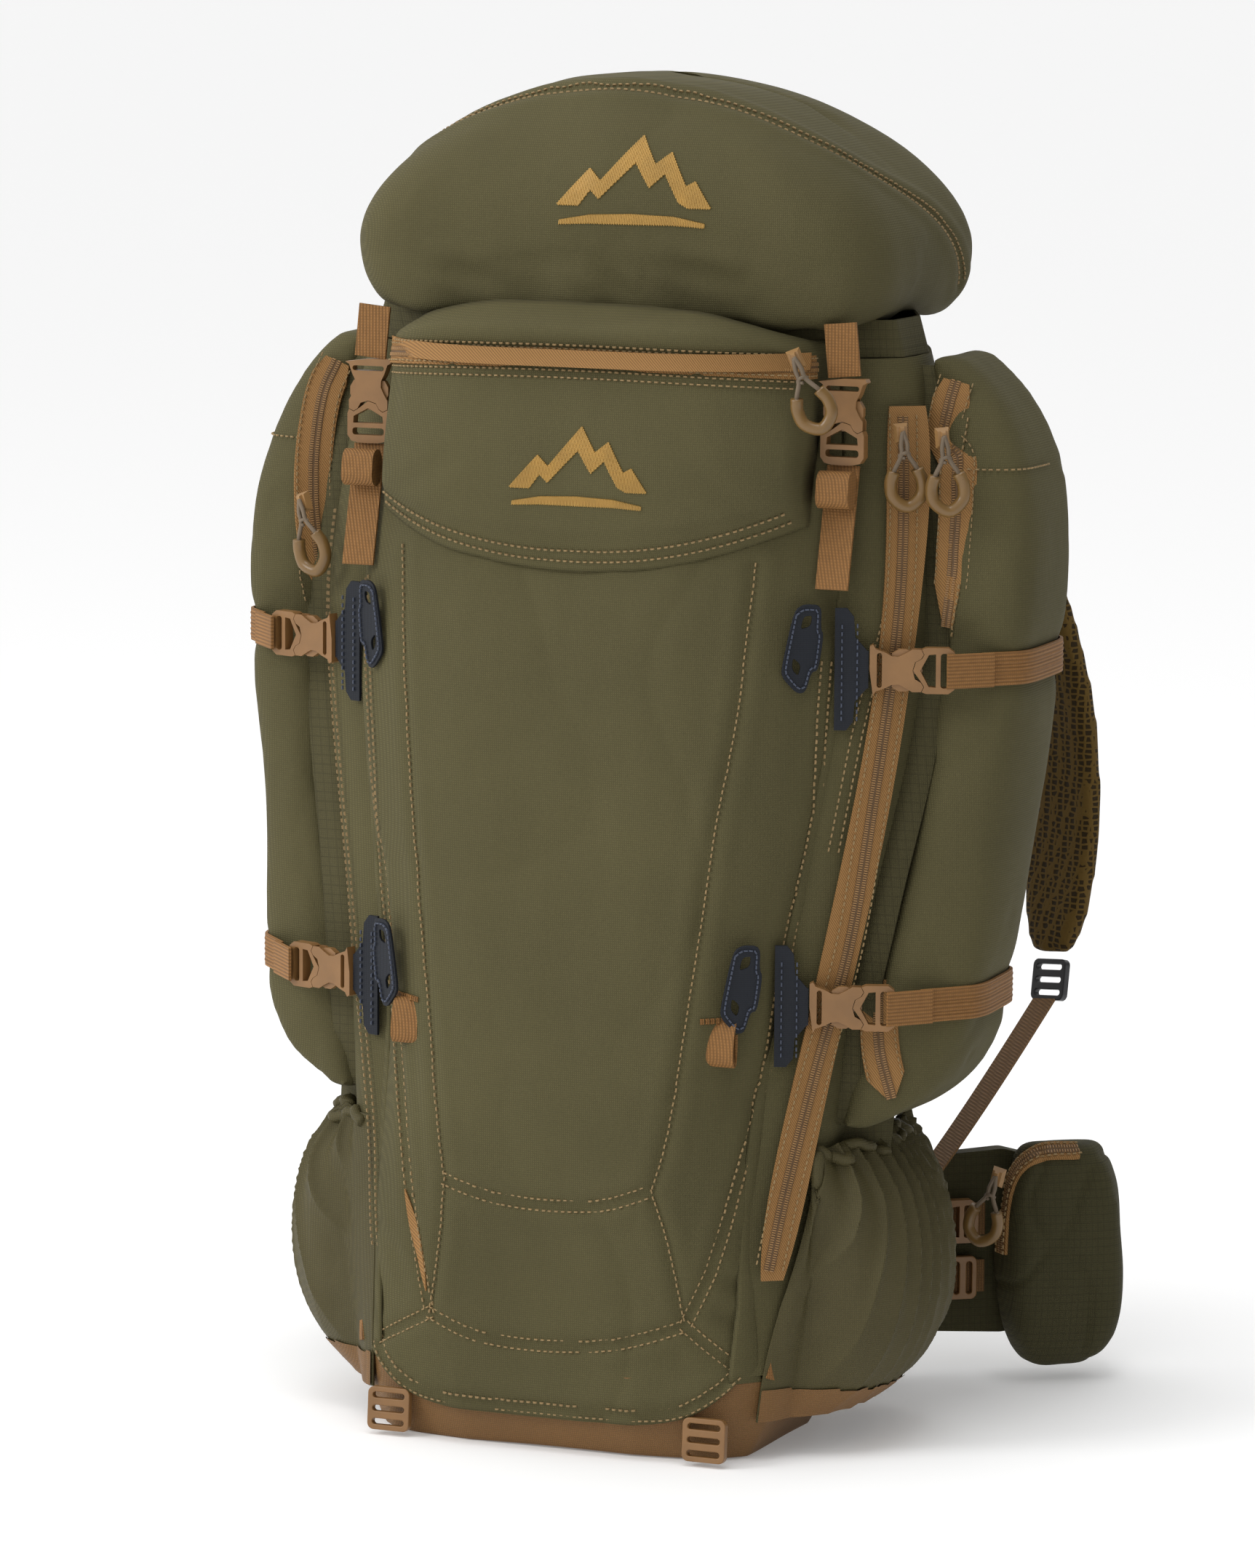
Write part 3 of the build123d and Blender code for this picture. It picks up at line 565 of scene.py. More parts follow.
def crease(a, b, depth, width):
    """A fold from a to b, deepest in its middle; a negative depth stands up."""
    a, b = Vector(a) * MM, Vector(b) * MM
    run = b - a

    def height(p):
        t = max(0.0, min(1.0, (p - a).dot(run) / run.length_squared))
        d = (p - a - run * t).length
        fade = sin(pi * t) ** 0.6 if 0 < t < 1 else 0
        w = width * MM
        return -depth * MM * fade * (falloff(d, w) - 0.5 * falloff(d - 1.6 * w, w))
    return height


def ripple(scale, amount, stretch=(1, 1, 1), offset=0.0):
    def height(p):
        q = Vector((p.x * stretch[0] + offset, p.y * stretch[1], p.z * stretch[2])) * scale
        return amount * noise.noise(q)
    return height


def crinkle(scale, amount, stretch=(1, 1, 1), offset=0.0):
    """Sharp-edged soft folds, as in slack cloth."""
    def height(p):
        q = Vector((p.x * stretch[0] + offset, p.y * stretch[1], p.z * stretch[2])) * scale
        v = noise.noise(q) + 0.35 * noise.noise(q * 2.1)
        return -amount * max(0.0, 1 - abs(v) * 5) ** 2
    return height


def relief(ob, heights, near=None):
    """Moves each point along its normal by the sum of some height functions."""
    mesh = ob.data
    normals = [v.normal.copy() for v in mesh.vertices]
    for v, n in zip(mesh.vertices, normals):
        p = v.co.copy()
        if near and not near(p):
            continue
        v.co = p + n * sum(h(p) for h in heights)
    mesh.update()


CLOTH_FRAMES = 14


def soften(node, name, voxel=0.005, relax=4, pressure=0.0, cap=0.006, move=None, held=None):
    """A CAD node's form as stuffed cloth: an even mesh, relaxed, blown up by a short cloth simulation."""
    source = frame["nodes"][node]
    ob = placed(name, source.data.copy())
    remesh = ob.modifiers.new("even", "REMESH")
    remesh.mode = "VOXEL"
    remesh.voxel_size = voxel
    smooth = ob.modifiers.new("relax", "SMOOTH")
    smooth.factor = 0.5
    smooth.iterations = relax
    apply_modifiers(ob)
    if move:
        for v in ob.data.vertices:
            v.co = move(v.co.copy())
    if pressure:
        rest = [v.co.copy() for v in ob.data.vertices]
        if held:
            group = ob.vertex_groups.new(name="held")
            for i, p in enumerate(rest):
                group.add([i], held(p), "REPLACE")
        cloth = ob.modifiers.new("cloth", "CLOTH")
        s = cloth.settings
        s.quality = 4
        s.mass = 0.2
        s.tension_stiffness = s.compression_stiffness = 12
        s.bending_stiffness = 0.4
        s.use_pressure = True
        s.uniform_pressure_force = pressure
        s.effector_weights.gravity = 0
        if held:
            s.vertex_group_mass = "held"
        cloth.point_cache.frame_start = 1
        cloth.point_cache.frame_end = CLOTH_FRAMES
        for f in range(1, CLOTH_FRAMES + 1):
            bpy.context.scene.frame_set(f)
        apply_modifiers(ob)
        ob.vertex_groups.clear()
        for v, p in zip(ob.data.vertices, rest):
            d = v.co - p
            if d.length > cap:
                v.co = p + d * (cap / d.length)
        bpy.context.scene.frame_set(1)
    ob.modifiers.new("fine", "SUBSURF").levels = 1
    apply_modifiers(ob)
    ob.data.materials.clear()
    ob.data.materials.append(PAINT[SLOT_OF[node]])
    for polygon in ob.data.polygons:
        polygon.material_index = 0
        polygon.use_smooth = True
    return ob


def grid_faces(rows, columns):
    w = columns + 1
    return [(r * w + c, r * w + c + 1, (r + 1) * w + c + 1, (r + 1) * w + c)
            for r in range(rows - 1) for c in range(columns)]


def skin(name, node, heights, columns, lower, under):
    """The front of a shell, as cloth: rows of points found by looking at it from the front.
    Below it the cloth goes on down over the node named by under, as far as lower(x)."""
    tree, under_tree = surface(frame["nodes"][node]), surface(frame["nodes"][under])
    verts, rows = [], 0
    for z in heights:
        reach = [0.0, 0.0]
        for k, sg in enumerate((-1, 1)):
            low, high = 0.06, 0.21
            for _ in range(14):
                mid = (low + high) / 2
                hit = tree.ray_cast(Vector((sg * mid, -0.4, z)), BACKWARD)[0]
                low, high = (mid, high) if hit is not None else (low, mid)
            reach[k] = low
        row = []
        for c in range(columns + 1):
            u = -1 + 2 * c / columns
            x = u * (reach[0] if u < 0 else reach[1])
            hit = tree.ray_cast(Vector((x, -0.4, z)), BACKWARD)[0]
            row.append(hit)
        if any(p is None for p in row):
            continue
        if rows == 0:
            for t in steps(0, 1, 0.08)[:-1]:
                for p in row:
                    low = lower(p.x)
                    h = low + (p.z - low) * t
                    hit = under_tree.ray_cast(Vector((p.x, -0.4, min(h, 0.047))), BACKWARD)[0]
                    y = hit.y if hit is not None else p.y
                    verts.append(Vector((p.x, y + (p.y - y) * t ** 2 - 0.0042 * (1 - t ** 2), h)))
                rows += 1
        verts += row
        rows += 1
    return new_object(name, verts, grid_faces(rows, columns), SLOT_OF[node])


def wrap(name, node, centre, facing, heights, columns, paint=None, spread=pi):
    """A shell seen from all round an upright axis, as one layer of cloth."""
    tree = surface(frame["nodes"][node])
    verts, rows = [], 0
    for z in heights:
        def find(a, z=z):
            ray = Vector((cos(facing + a), sin(facing + a), 0))
            return tree.ray_cast(Vector((*centre, z)) + ray * 0.5, -ray, 0.47)[0]
        if spread < pi:
            hits = [a for a in steps(-spread, spread, 0.02) if find(a) is not None]
            if len(hits) < 10:
                continue
            low, high = hits[0], hits[-1]
        else:
            low, high = -pi, pi
        row = [find(low + (high - low) * c / columns) for c in range(columns + 1)]
        for c, p in enumerate(row):
            if p is None:
                row[c] = row[c - 1] if c and row[c - 1] is not None else next(q for q in row if q is not None)
        verts += row
        rows += 1
    return new_object(name, verts, grid_faces(rows, columns), paint or SLOT_OF[node])


def even_out(ob, times, factor=0.5):
    smooth = ob.modifiers.new("relax", "SMOOTH")
    smooth.factor = factor
    smooth.iterations = times
    apply_modifiers(ob)


def thicken(ob, thick):
    solid = ob.modifiers.new("thick", "SOLIDIFY")
    solid.thickness = thick
    solid.offset = -1
    apply_modifiers(ob)


def steps(a, b, step):
    n = max(1, round((b - a) / step))
    return [a + (b - a) * i / n for i in range(n + 1)]

# ---------------- soft pieces
shown = {}


def stands_for(node):
    """The piece stands in for a CAD node, which is hidden."""
    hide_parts(node)


def show(key, ob, node, body):
    stands_for(node)
    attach(ob, body)
    shown[key] = ob
    return ob


# seams of the front, in millimetres
CENTRE_LEFT = mm((-116, -56, 528), (-103, -76, 417), (-91, -89, 328), (-77, -103, 246), (-63, -113, 160))
CENTRE_RIGHT = mm((109, -59, 528), (104, -72, 443), (95, -84, 374), (84, -99, 263), (76, -108, 195),
        (68, -112, 163))
LOWER_TOP = mm((-63, -113, 160), (-30, -116, 152), (5, -116, 150), (39, -116, 153), (68, -112, 163))
LOWER_LEFT = mm((-63, -113, 160), (-66, -111, 126), (-75, -106, 77))
LOWER_RIGHT = mm((68, -112, 163), (78, -109, 129), (86, -103, 82))
LOWER_ARC = mm((-75, -106, 77), (-42, -109, 66), (2, -110, 64), (46, -109, 69), (86, -103, 82))
DIAGONAL_LEFT = mm((-75, -106, 77), (-95, -99, 66), (-114, -92, 55))
DIAGONAL_RIGHT = mm((86, -103, 82), (101, -97, 68), (115, -90, 56))
EDGE_LEFT = mm((-148, -27, 505), (-136, -45, 410), (-124, -63, 322), (-93, -101, 174), (-75, -106, 77))
EDGE_RIGHT = mm((146, -30, 470), (141, -44, 367), (131, -53, 314), (118, -73, 205), (103, -97, 125),
        (86, -103, 82))
HEM = mm((-114, -92, 54), (-104, -98, 43), (-80, -108, 30), (-40, -112, 27), (0, -113, 27), (40, -112, 27),
         (80, -108, 30), (104, -98, 43), (115, -92, 54))
SINGLE = [CENTRE_LEFT, CENTRE_RIGHT, LOWER_LEFT, LOWER_RIGHT]
DOUBLE = [LOWER_TOP, LOWER_ARC, DIAGONAL_LEFT, DIAGONAL_RIGHT, EDGE_LEFT, EDGE_RIGHT, HEM]
ALL_SEAMS = [q for path in SINGLE + DOUBLE for q in smooth_path(path, 0.003)]


def hem_height(x):
    return 0.021 + 0.029 * min(1, abs(x) / 0.117) ** 5


front = skin("front_cloth", "front_panel", steps(0.0545, 0.6445, 0.0027), 120, hem_height, "base_panel")
relief(front, [
    seam_relief(ALL_SEAMS),
    ripple(9, 0.0026, (1, 1, 0.6)), ripple(30, 0.0009, (1, 1, 0.5), 3), crinkle(7, 0.0012, (1, 1, 0.7), 2),
    crease((95, -98, 118), (128, -80, 96), 1.6, 6), crease((100, -96, 92), (122, -84, 78), 1.2, 5),
    crease((-118, -80, 128), (-92, -100, 104), 1.4, 6), crease((-60, -112, 140), (60, -112, 132), 0.8, 12),
])
front_tree = surface(front)
thicken(front, 0.0025)
show("front", front, "front_panel", "bag")

# the pocket on the front: its cloth runs into the panel along an arc, and it bulges over its zip
PANEL = surface(frame["nodes"]["front_panel"], frame["nodes"]["top_collar"])
POCKET = surface(frame["nodes"]["front_pocket"])


def arc_height(x):
    return 0.521 + 0.029 * min(1, abs(x) / 0.133) ** 2.2


def top_height(x):
    return 0.678 - 0.024 * min(1, abs(x) / 0.1345) ** 2.6


pocket_verts, columns, lines = [], 108, 62
for r in range(lines + 1):
    for c in range(columns + 1):
        u = -1 + 2 * c / columns
        t = r / lines
        x = 0.1345 * u
        low, high = arc_height(x), top_height(x)
        z = low + (high - low) * t
        under = PANEL.ray_cast(Vector((x, -0.4, min(z, 0.64))), BACKWARD)[0]
        over = POCKET.ray_cast(Vector((x * 0.985, -0.4, max(0.53, min(z, 0.672)))), BACKWARD)[0]
        base_y = under.y - 0.001 if under else -0.03
        top_y = over.y if over else base_y - 0.006
        rise = min(1, t / 0.16) ** 0.7 * min(1, (1 - abs(u)) / 0.045) ** 0.6
        y = base_y + (top_y - base_y) * (0.08 + 0.92 * rise)
        zip_dip = falloff(z - 0.646, 0.006)
        puff = falloff(z - 0.662, 0.009) * (1 - abs(u) ** 4)
        y += 0.0025 * zip_dip - 0.006 * puff
        if t > 0.93:
            y += 0.02 * ((t - 0.93) / 0.07) ** 2
        pocket_verts.append(Vector((x, y, z)))
pocket = new_object("front_pocket_cloth", pocket_verts, grid_faces(lines + 1, columns), "olive_fabric")
relief(pocket,
        [ripple(11, 0.0024, (1, 1, 0.8), 7), crinkle(8, 0.0012, (1, 1, 1), 8),
        ripple(42, 0.0005, (1, 1, 0.6), 5),
                crease((-120, -60, 560), (-70, -85, 585), 0.9, 7), crease((118, -60, 556), (80, -84, 580),
                        1.0, 7),
                crease((-126, -40, 640), (-118, -60, 600), 0.8, 6)])
pocket_surface = surface(pocket)
thicken(pocket, 0.0025)
show("pocket", pocket, "front_pocket", "bag")


# the lid: a domed bag whose crown falls away to both sides
def lid_form(p):
    side = min(1.0, abs(p.x) / 0.172)
    up = max(0.0, min(1.0, (p.z - 0.672) / 0.13))
    p.z -= 0.024 * side ** 1.6 * up ** 1.2 * (1.15 if p.x > 0 else 1.0)
    if p.y < 0.07:
        p.y += 0.012 * up * (1 - side ** 2)
    if p.z < 0.70:
        low = min(1.0, (0.70 - p.z) / 0.025)
        p.z -= 0.005 * low
        if p.y < 0.04:
            p.y -= 0.009 * low * (1 - 0.4 * side)
    return p


lid = soften("lid_shell", "lid_cloth", 0.0056, 5, pressure=2.5, cap=0.0035, move=lid_form,
             held=lambda p: 1.0 if p.z < 0.682 else 0.0)
lid_tree = surface(lid)
LID_SEAM_HALF = mm((0, -6, 802), (45, -4, 799), (95, 2, 790), (132, 16, 772), (156, 48, 751),
        (167, 82, 728), (169, 106, 708),
                   (160, 130, 684))
lid_seam = mirrored(LID_SEAM_HALF)[:0:-1] + LID_SEAM_HALF
lid_seam = [q for q, _ in laid(smooth_path(lid_seam, 0.002), lid_tree)]


def lid_gathers(p):
    """Elastic draws the hem in, so short folds climb from it and fade."""
    low = max(0.0, 1 - (p.z - 0.664) / 0.055)
    if low <= 0 or p.y > 0.14:
        return 0.0
    run = p.x * 62 + p.y * 40
    wave = sin(run + 1.7 * sin(run * 0.37)) + 0.5 * sin(run * 2.3 + 1)
    return 0.0022 * low ** 1.5 * wave


relief(lid, [seam_relief(lid_seam, 0.002, 0.003, 0.0016), lid_gathers, crinkle(5, 0.0012, (1, 1, 1.3), 4),
             ripple(6, 0.003), ripple(24, 0.0007, (1, 1, 0.6), 2),
             crease((-8, -50, 706), (22, -44, 678), 2.6, 6), crease((18, -50, 712), (40, -42, 682), 2.2, 5),
             crease((36, -48, 700), (96, -36, 688), 2.2, 7), crease((96, -30, 712), (150, 10, 694), 2.6, 8),
             crease((-130, -20, 700), (-60, -44, 684), 2.0, 7), crease((-30, -50, 696), (-8, -46, 678), 1.8,
                     5),
             crease((140, 10, 720), (166, 60, 700), 2.4, 8), crease((-158, 10, 712), (-128, -14, 690), 2.2,
                     7)],
       near=lambda p: p.z > 0.66 or p.y < 0.1)
show("lid", lid, "lid_shell", "lid")


# the side pods: stuffed between the two straps that pull them in
def pod_relief(sg):
    def swell(p):
        waist = falloff(p.z - 0.467, 0.016) + falloff(p.z - 0.27, 0.016)
        far = max(0.0, min(1.0, (sg * p.x - 0.18) / 0.05))
        bulge = 0.5 + 0.5 * sin((p.z - 0.36) * 15 + 1.0)
        return 0.0032 * far * bulge * (1 - min(1, waist)) - 0.0022 * far * min(1, waist)
    return swell


for side, sg in SIDES:
    def flip(*q, sg=sg):
        return (sg * q[0], q[1], q[2])
    pod = soften(f"side_pod_{side}", f"pod_cloth_{side}", 0.0056, 4, pressure=2.0, cap=0.0028,
                 held=lambda p, sg=sg: float(sg
                         * p.x < 0.185 or any(abs(p.z - z) < 0.014 for _, z in STRAP_LEVELS)))
    relief(pod, [
        pod_relief(sg), ripple(10, 0.003, (1, 1, 0.7), 4 * sg), crinkle(6, 0.0016, (1, 1, 0.8), 3
                + sg), ripple(33, 0.0006, (1, 1, 0.5), sg),
        crease(flip(206, 16, 583), flip(244, 94, 577), 2.2, 4), crease(flip(170, -5, 293),
                flip(232, 5, 272), 3.2, 7),
        crease(flip(228, 5, 545), flip(240, 60, 500), 1.6, 12), crease(flip(196, 0, 300),
                flip(236, 40, 320), 1.6, 8),
        crease(flip(206, -12, 455), flip(244, 30, 436), 1.5, 8), crease(flip(206, -10, 480),
                flip(246, 30, 500), 1.4, 8),
        crease(flip(192, -16, 258), flip(220, 20, 232), 2.2, 7), crease(flip(180, -26, 240),
                flip(205, 0, 214), 1.8, 6),
        crease(flip(175, 0, 300), flip(195, -5, 420), 1.2, 10),
    ])
    show(f"pod_{side}", pod, f"side_pod_{side}", "bag")


# bottle pockets: thin cloth gathered by elastic at the top and by a seam at the bottom
for side, sg in SIDES:
    def gathers(p, sg=sg):
        up = max(0.0, min(1.0, (p.z - 0.03) / 0.155))
        run = p.y * (120 + 190 * up) + 1.6 * sin(p.z * 22 + p.y
                * 30) + 1.2 * noise.noise(Vector((p.y * 18, p.z * 9, 3)))
        wave = 1 - 2 * abs(sin(run)) ** 0.7 + 0.35 * sin(run * 1.7 + 2.0)
        outer = max(0.0, min(1.0, (sg * p.x - 0.14) / 0.02))
        return outer * wave * (0.0006 + 0.0034 * up ** 1.2)
    bottle = wrap(f"bottle_cloth_{side}", f"bottle_pocket_{side}", (sg * 0.128, -0.015), 0 if sg > 0 else pi,
                  steps(0.0225, 0.1875, 0.0018), 170, "pocket_fabric", 1.7)
    EDGE = mm((124, -86, 20), (128, -81, 60), (138, -70, 110), (146, -60, 157),
            (151, -52, 190)) if sg > 0 else mm(
        (119, -89, 20), (119, -87, 60), (120, -83, 110), (121, -79, 157), (125, -72, 190))
    edge_points = smooth_path(EDGE, 0.001)
    sewn = bmesh.new()
    sewn.from_mesh(bottle.data)
    sewn.verts.ensure_lookup_table()
    width = 171  # points in a row of the cloth
    rows_here = len(sewn.verts) // width
    front_end = 0 if sg > 0 else width - 1
    last = [sewn.verts[r * width + front_end] for r in range(rows_here)]
    goal = [min(edge_points, key=lambda e, z=v.co.z: abs(e.z - z)) for v in last]
    from_here = [v.co.copy() for v in last]
    for k in range(1, 17):
        t = k / 16
        column = [sewn.verts.new(p.lerp(Vector((sg * g.x, g.y, p.z)), t) + Vector((sg, -1, 0))
                * (0.002 * sin(pi * t)))
                  for p, g in zip(from_here, goal)]
        for a, b, c, d in zip(last, column, column[1:], last[1:]):
            sewn.faces.new((a, b, c, d) if sg < 0 else (a, d, c, b))
        last = column
    bmesh.ops.recalc_face_normals(sewn, faces=sewn.faces)
    sewn.to_mesh(bottle.data)
    sewn.free()
    even_out(bottle, 14)
    for v in bottle.data.vertices:
        up = (v.co.z - 0.022) / 0.166
        swell = 0.013 * max(0.0, sin(pi * min(1, max(0, up)) ** 0.85)) - 0.005 * max(0.0, up - 0.8) * 5
        v.co.x += sg * swell * max(0.0, min(1.0, (sg * v.co.x - 0.135) / 0.03))
    bottle.data.update()
    if sum(f.normal.x * sg * f.area for f in bottle.data.polygons) < 0:
        bottle.data.flip_normals()
    relief(bottle, [gathers, ripple(16, 0.0018, (1, 1, 0.5), 9),
                    crease((sg * 150, -66, 60), (sg * 186, 0, 96), 2.2, 8),
                    crease((sg * 152, -60, 90), (sg * 184, -10, 140), 1.8, 8)])
    bottle_tree = surface(bottle)
    cradle = Pile()
    for face in bottle.data.polygons:
        ring = [bottle.data.vertices[i] for i in face.vertices]
        if all(v.co.z < 0.046 - 0.10 * (v.co.y + 0.085) * (1 if v.co.y > -0.085 else 0) for v in ring):
            first = len(cradle.verts)
            cradle.verts += [v.co + v.normal * 0.0012 for v in ring]
            cradle.faces.append(tuple(range(first, first + len(ring))))
    cradle_ob = cradle.make(f"base_cradle_{side}", "base_fabric", "bag", True)
    if cradle_ob:
        joined = bmesh.new()
        joined.from_mesh(cradle_ob.data)
        bmesh.ops.remove_doubles(joined, verts=joined.verts, dist=0.0002)
        joined.to_mesh(cradle_ob.data)
        joined.free()
        even_out(cradle_ob, 5)
    thicken(bottle, 0.0015)
    show(f"bottle_{side}", bottle, f"bottle_pocket_{side}", "bag")
    rim = []
    for k in range(40):
        y = -0.083 + 0.138 * k / 39
        hit = bottle_tree.ray_cast(Vector((sg * 0.3, y, 0.181 - 0.004 * sin(k * 0.7))),
                Vector((-sg, 0, 0)))[0]
        if hit is not None and sg * hit.x > 0.13:
            rim.append(hit)
    if len(rim) > 4:
        elastic = Pile()
        elastic.tube([p + Vector((0, 0, 0.0005 + 0.0005 * sin(i * 1.1))) for i,
                p in enumerate(smooth_path(rim, 0.002))], 0.0034)
        elastic.make(f"elastic_rim_{side}", "pocket_fabric", "bag", True)

# base, hip pockets and shoulder straps
base = wrap("base_cloth", "base_panel", (0, 0), 0, steps(0.0015, 0.0495, 0.0024), 220)
rim_count = 221  # points round the base
first = [v.co.copy() for v in base.data.vertices][:rim_count]
floor_rings = bmesh.new()
floor_rings.from_mesh(base.data)
floor_rings.verts.ensure_lookup_table()
ring = [floor_rings.verts[i] for i in range(rim_count)]
for shrink, drop in ((0.985, THREAD_STEP), (0.6, 0.0004), (0.2, 0.0004)):
    inner = [floor_rings.verts.new((p.x * shrink, p.y * shrink, drop)) for p in first]
    for i in range(rim_count - 1):
        floor_rings.faces.new((ring[i], inner[i], inner[i + 1], ring[i + 1]))
    ring = inner
floor_rings.faces.new(ring[:-1])
bmesh.ops.remove_doubles(floor_rings, verts=floor_rings.verts, dist=0.0001)
bmesh.ops.recalc_face_normals(floor_rings, faces=floor_rings.faces)
floor_rings.to_mesh(base.data)
relief(base, [ripple(14, 0.0016, (1, 1, 1), 6),
              crease((110, -88, 30), (134, -20, 24), 1.5, 6)])
show("base", base, "base_panel", "bag")
for side, sg in SIDES:
    hip = soften(f"hip_pocket_{side}", f"hip_cloth_{side}", 0.0045, 9, pressure=3, cap=0.004)
    relief(hip, [ripple(20, 0.003, (1, 1, 1), sg), crinkle(16, 0.002, (1, 1, 1), sg),
            ripple(60, 0.0007, (1, 1, 0.6))])
    show(f"hip_{side}", hip, f"hip_pocket_{side}", f"belt_{side}")
    strap = soften(f"shoulder_strap_{side}", f"shoulder_foam_{side}", 0.004, 5)
    relief(strap, [ripple(22, 0.0012)])
    show(f"shoulder_{side}", strap, f"shoulder_strap_{side}", f"shoulder_{side}")

# ---------------- sewing, zips and webbing
thread = Pile()
for path in SINGLE:
    stitch(thread, threaded(path, front_tree))
for path in DOUBLE:
    spots = threaded(path, front_tree)
    for offset in (-0.0034, 0.0034):
        stitch(thread, beside(spots, offset))
POCKET_ARC = [Vector((x / 1000, -0.07, arc_height(x / 1000) + 0.006)) for x in range(-128, 129, 8)]
for rise in (0.0, 0.0062):
    line = [p + Vector((0, 0, rise)) for p in POCKET_ARC]
    stitch(thread, threaded(line, pocket_surface))


def across_pocket(rise, drop, ends=126):
    """A line across the pocket that follows its zip."""
    out = []
    for x in range(-ends, ends + 1, 6):
        z = 0.6462 + rise - drop * (abs(x) / 126) ** 2.5
        hit = pocket_surface.ray_cast(Vector((x / 1000, -0.4, z)), BACKWARD)[0]
        if hit is not None:
            out.append(hit)
    return out


for rise in (0.0078, -0.0078, -0.0118):
    stitch(thread, threaded(across_pocket(rise, 0.004), pocket_surface))
thread.make("front_thread", "thread", "bag")

lid_surface = surface(lid)
lid_thread = Pile()
steady = eased(lid_seam, 20)
for offset in (-0.0045, 0.0045):
    spots = beside(frames(laid(steady, lid_surface)), offset)
    line = laid(smooth_path(eased([q[0] for q in spots], 10), THREAD_STEP), lid_surface)
    stitch(lid_thread, frames(list(zip(eased([q[0] for q in line]), [q[1] for q in line]))))
lid_thread.make("lid_thread", "thread", "lid")


def zip_run(name, path, tree, body, width=0.020, outward=FORWARD, tape=True, taper=False):
    """Zip tape with its coils, as separate pieces, laid on a surface."""
    outward = outward.normalized()

    def lay(step, lift):
        found = seen(smooth_path(path, step), tree, outward, lift)
        if not taper:
            return frames(found)
        places = eased([p + outward * 0.0012 for p, _ in found], 40)
        return frames([(p, (outward * 2 + n).normalized()) for p, (_, n) in zip(places, found)])
    spots = lay(0.0012, 0)
    if tape and taper:
        whole = Pile()
        n = len(spots)
        whole.bar(spots, [width * min(1, 0.25 + 4 * (n - 1 - i) / n, 0.7 + 4 * i / n) for i in range(n)],
                0.0013, 0.0003, 0.002)
        whole.make(f"{name}_tape", "zip_tape", body)
    elif tape:
        halves = Pile()
        for centre in (-width / 4 - 0.0006, width / 4 + 0.0006):
            halves.bar(beside(spots, centre), width / 2 - 0.0006, 0.0013, 0.0003, 0.002)
        halves.make(f"{name}_tape", "zip_tape", body)
    rise = 0.0013 if tape else 0.0
    coil = Pile()
    fine = lay(0.0007, rise)
    for k, (p, along, across, out) in enumerate(fine):
        if k % 2 == 0:
            for offset in (-0.0017, 0.0017):
                coil.box(p + across * offset, along, across, out, 0.0009, 0.0024, 0.0009)
    coil.make(f"{name}_coil", "coil_thread", body)
    # a dark strip under the coils, seen between them: painted shadow
    painted_coil_shadow = Pile()
    painted_coil_shadow.bar([(p - out * 0.0004, a, c, out) for p, a, c, out in fine], 0.0062, 0.0007, 0)
    painted_coil_shadow.make(f"{name}_painted_shadow", "zip_shadow", body)
    rows = Pile()
    if taper:
        fine = fine[:int(len(fine) * 0.84)]
    for offset in (-width / 2 + 0.0016, width / 2 - 0.0016):
        stitch(rows, beside(fine, offset), 0.004, 0.0026, 0.0008)
    rows.make(f"{name}_stitches", "thread", body)


def zip_on_tape(name, points, node, body="bag", way=FORWARD):
    """Coils, a dark strip of painted shadow under them and stitch lines along a tape the frame already has.
    """
    tree = surface(frame["nodes"][node])
    zip_run(name, points, tree, body, 0.0195, way, tape=False)


zip_run("pocket_zip", across_pocket(0, 0.004, 132), pocket_surface, "bag", 0.0135, FORWARD)
MAIN_LINE = mm((173, 10, 612), (180, -11, 500), (169, -26, 379), (159, -35, 302), (145, -53, 226),
        (133, -70, 157),
               (127, -78, 116))
zip_on_tape("main_zip", MAIN_LINE, "main_zip", way=Vector((0.55, -0.83, 0)))
POD_ZIPS = {
    "upper_right": ((207, 14, 634), (205, 8, 618), (202, 0, 580), (200, -5, 536), (189, -10, 489)),
    "upper_left": ((-198, 32, 628), (-205, 25, 606), (-206, 13, 565), (-203, 10, 522), (-198, 14, 484)),
    "lower_right": ((172, -10, 280), (179, -28, 243), (184, -22, 212)),
    "lower_left": ((-160, -30, 266), (-157, -30, 246), (-153, -32, 224)),
}
for side, sg in SIDES:
    pod_tree = surface(shown[f"pod_{side}"])
    for part in ("upper", "lower"):
        zip_run(f"pod_zip_{part}_{side}", mm(*POD_ZIPS[f"{part}_{side}"]), pod_tree, "bag", 0.023,
                Vector((0.365, -0.92, 0.14)), taper=True)
    stitched = mm(*((sg * x, y, z) for x, y,
            z in ((218, 8, 610), (215, 2, 577), (213, -2, 530), (203, -8, 482))))
    sewing = Pile()
    stitch(sewing, threaded(stitched, pod_tree, Vector((sg * 0.45, -0.9, 0))))
    across_pod = mm(*((sg * x, y, 582) for x, y in ((207, 10), (224, 20), (234, 45), (238, 70))))
    stitch(sewing, threaded(across_pod, pod_tree, Vector((sg * 0.75, -0.6, 0))))
    sewing.make(f"pod_thread_{side}", "thread", "bag")
stands_for("pod_zips")

# ---------------- embroidery, side seams and tab stitching
def ridge(x, peaks):
    for (a, h), (b, k) in zip(peaks, peaks[1:]):
        if a <= x <= b:
            return h + (k - h) * (x - a) / (b - a)
    return None


PEAKS = [(-47, 0), (-30, 21), (-22, 14), (-3, 40), (9, 24), (17, 31), (30, 12), (35, 15), (47, 0)]
INNER = [(-33, 0), (-27, 9), (-21, 4), (-3, 25), (8, 11), (16, 19), (27, 3), (33, 0)]
SWOOP = [(-44, -9), (-25, -5.5), (0, -4.5), (25, -5.5), (44, -9)]
SWOOP_LOW = [(-44, -11), (-25, -10), (0, -10), (25, -10), (44, -11)]


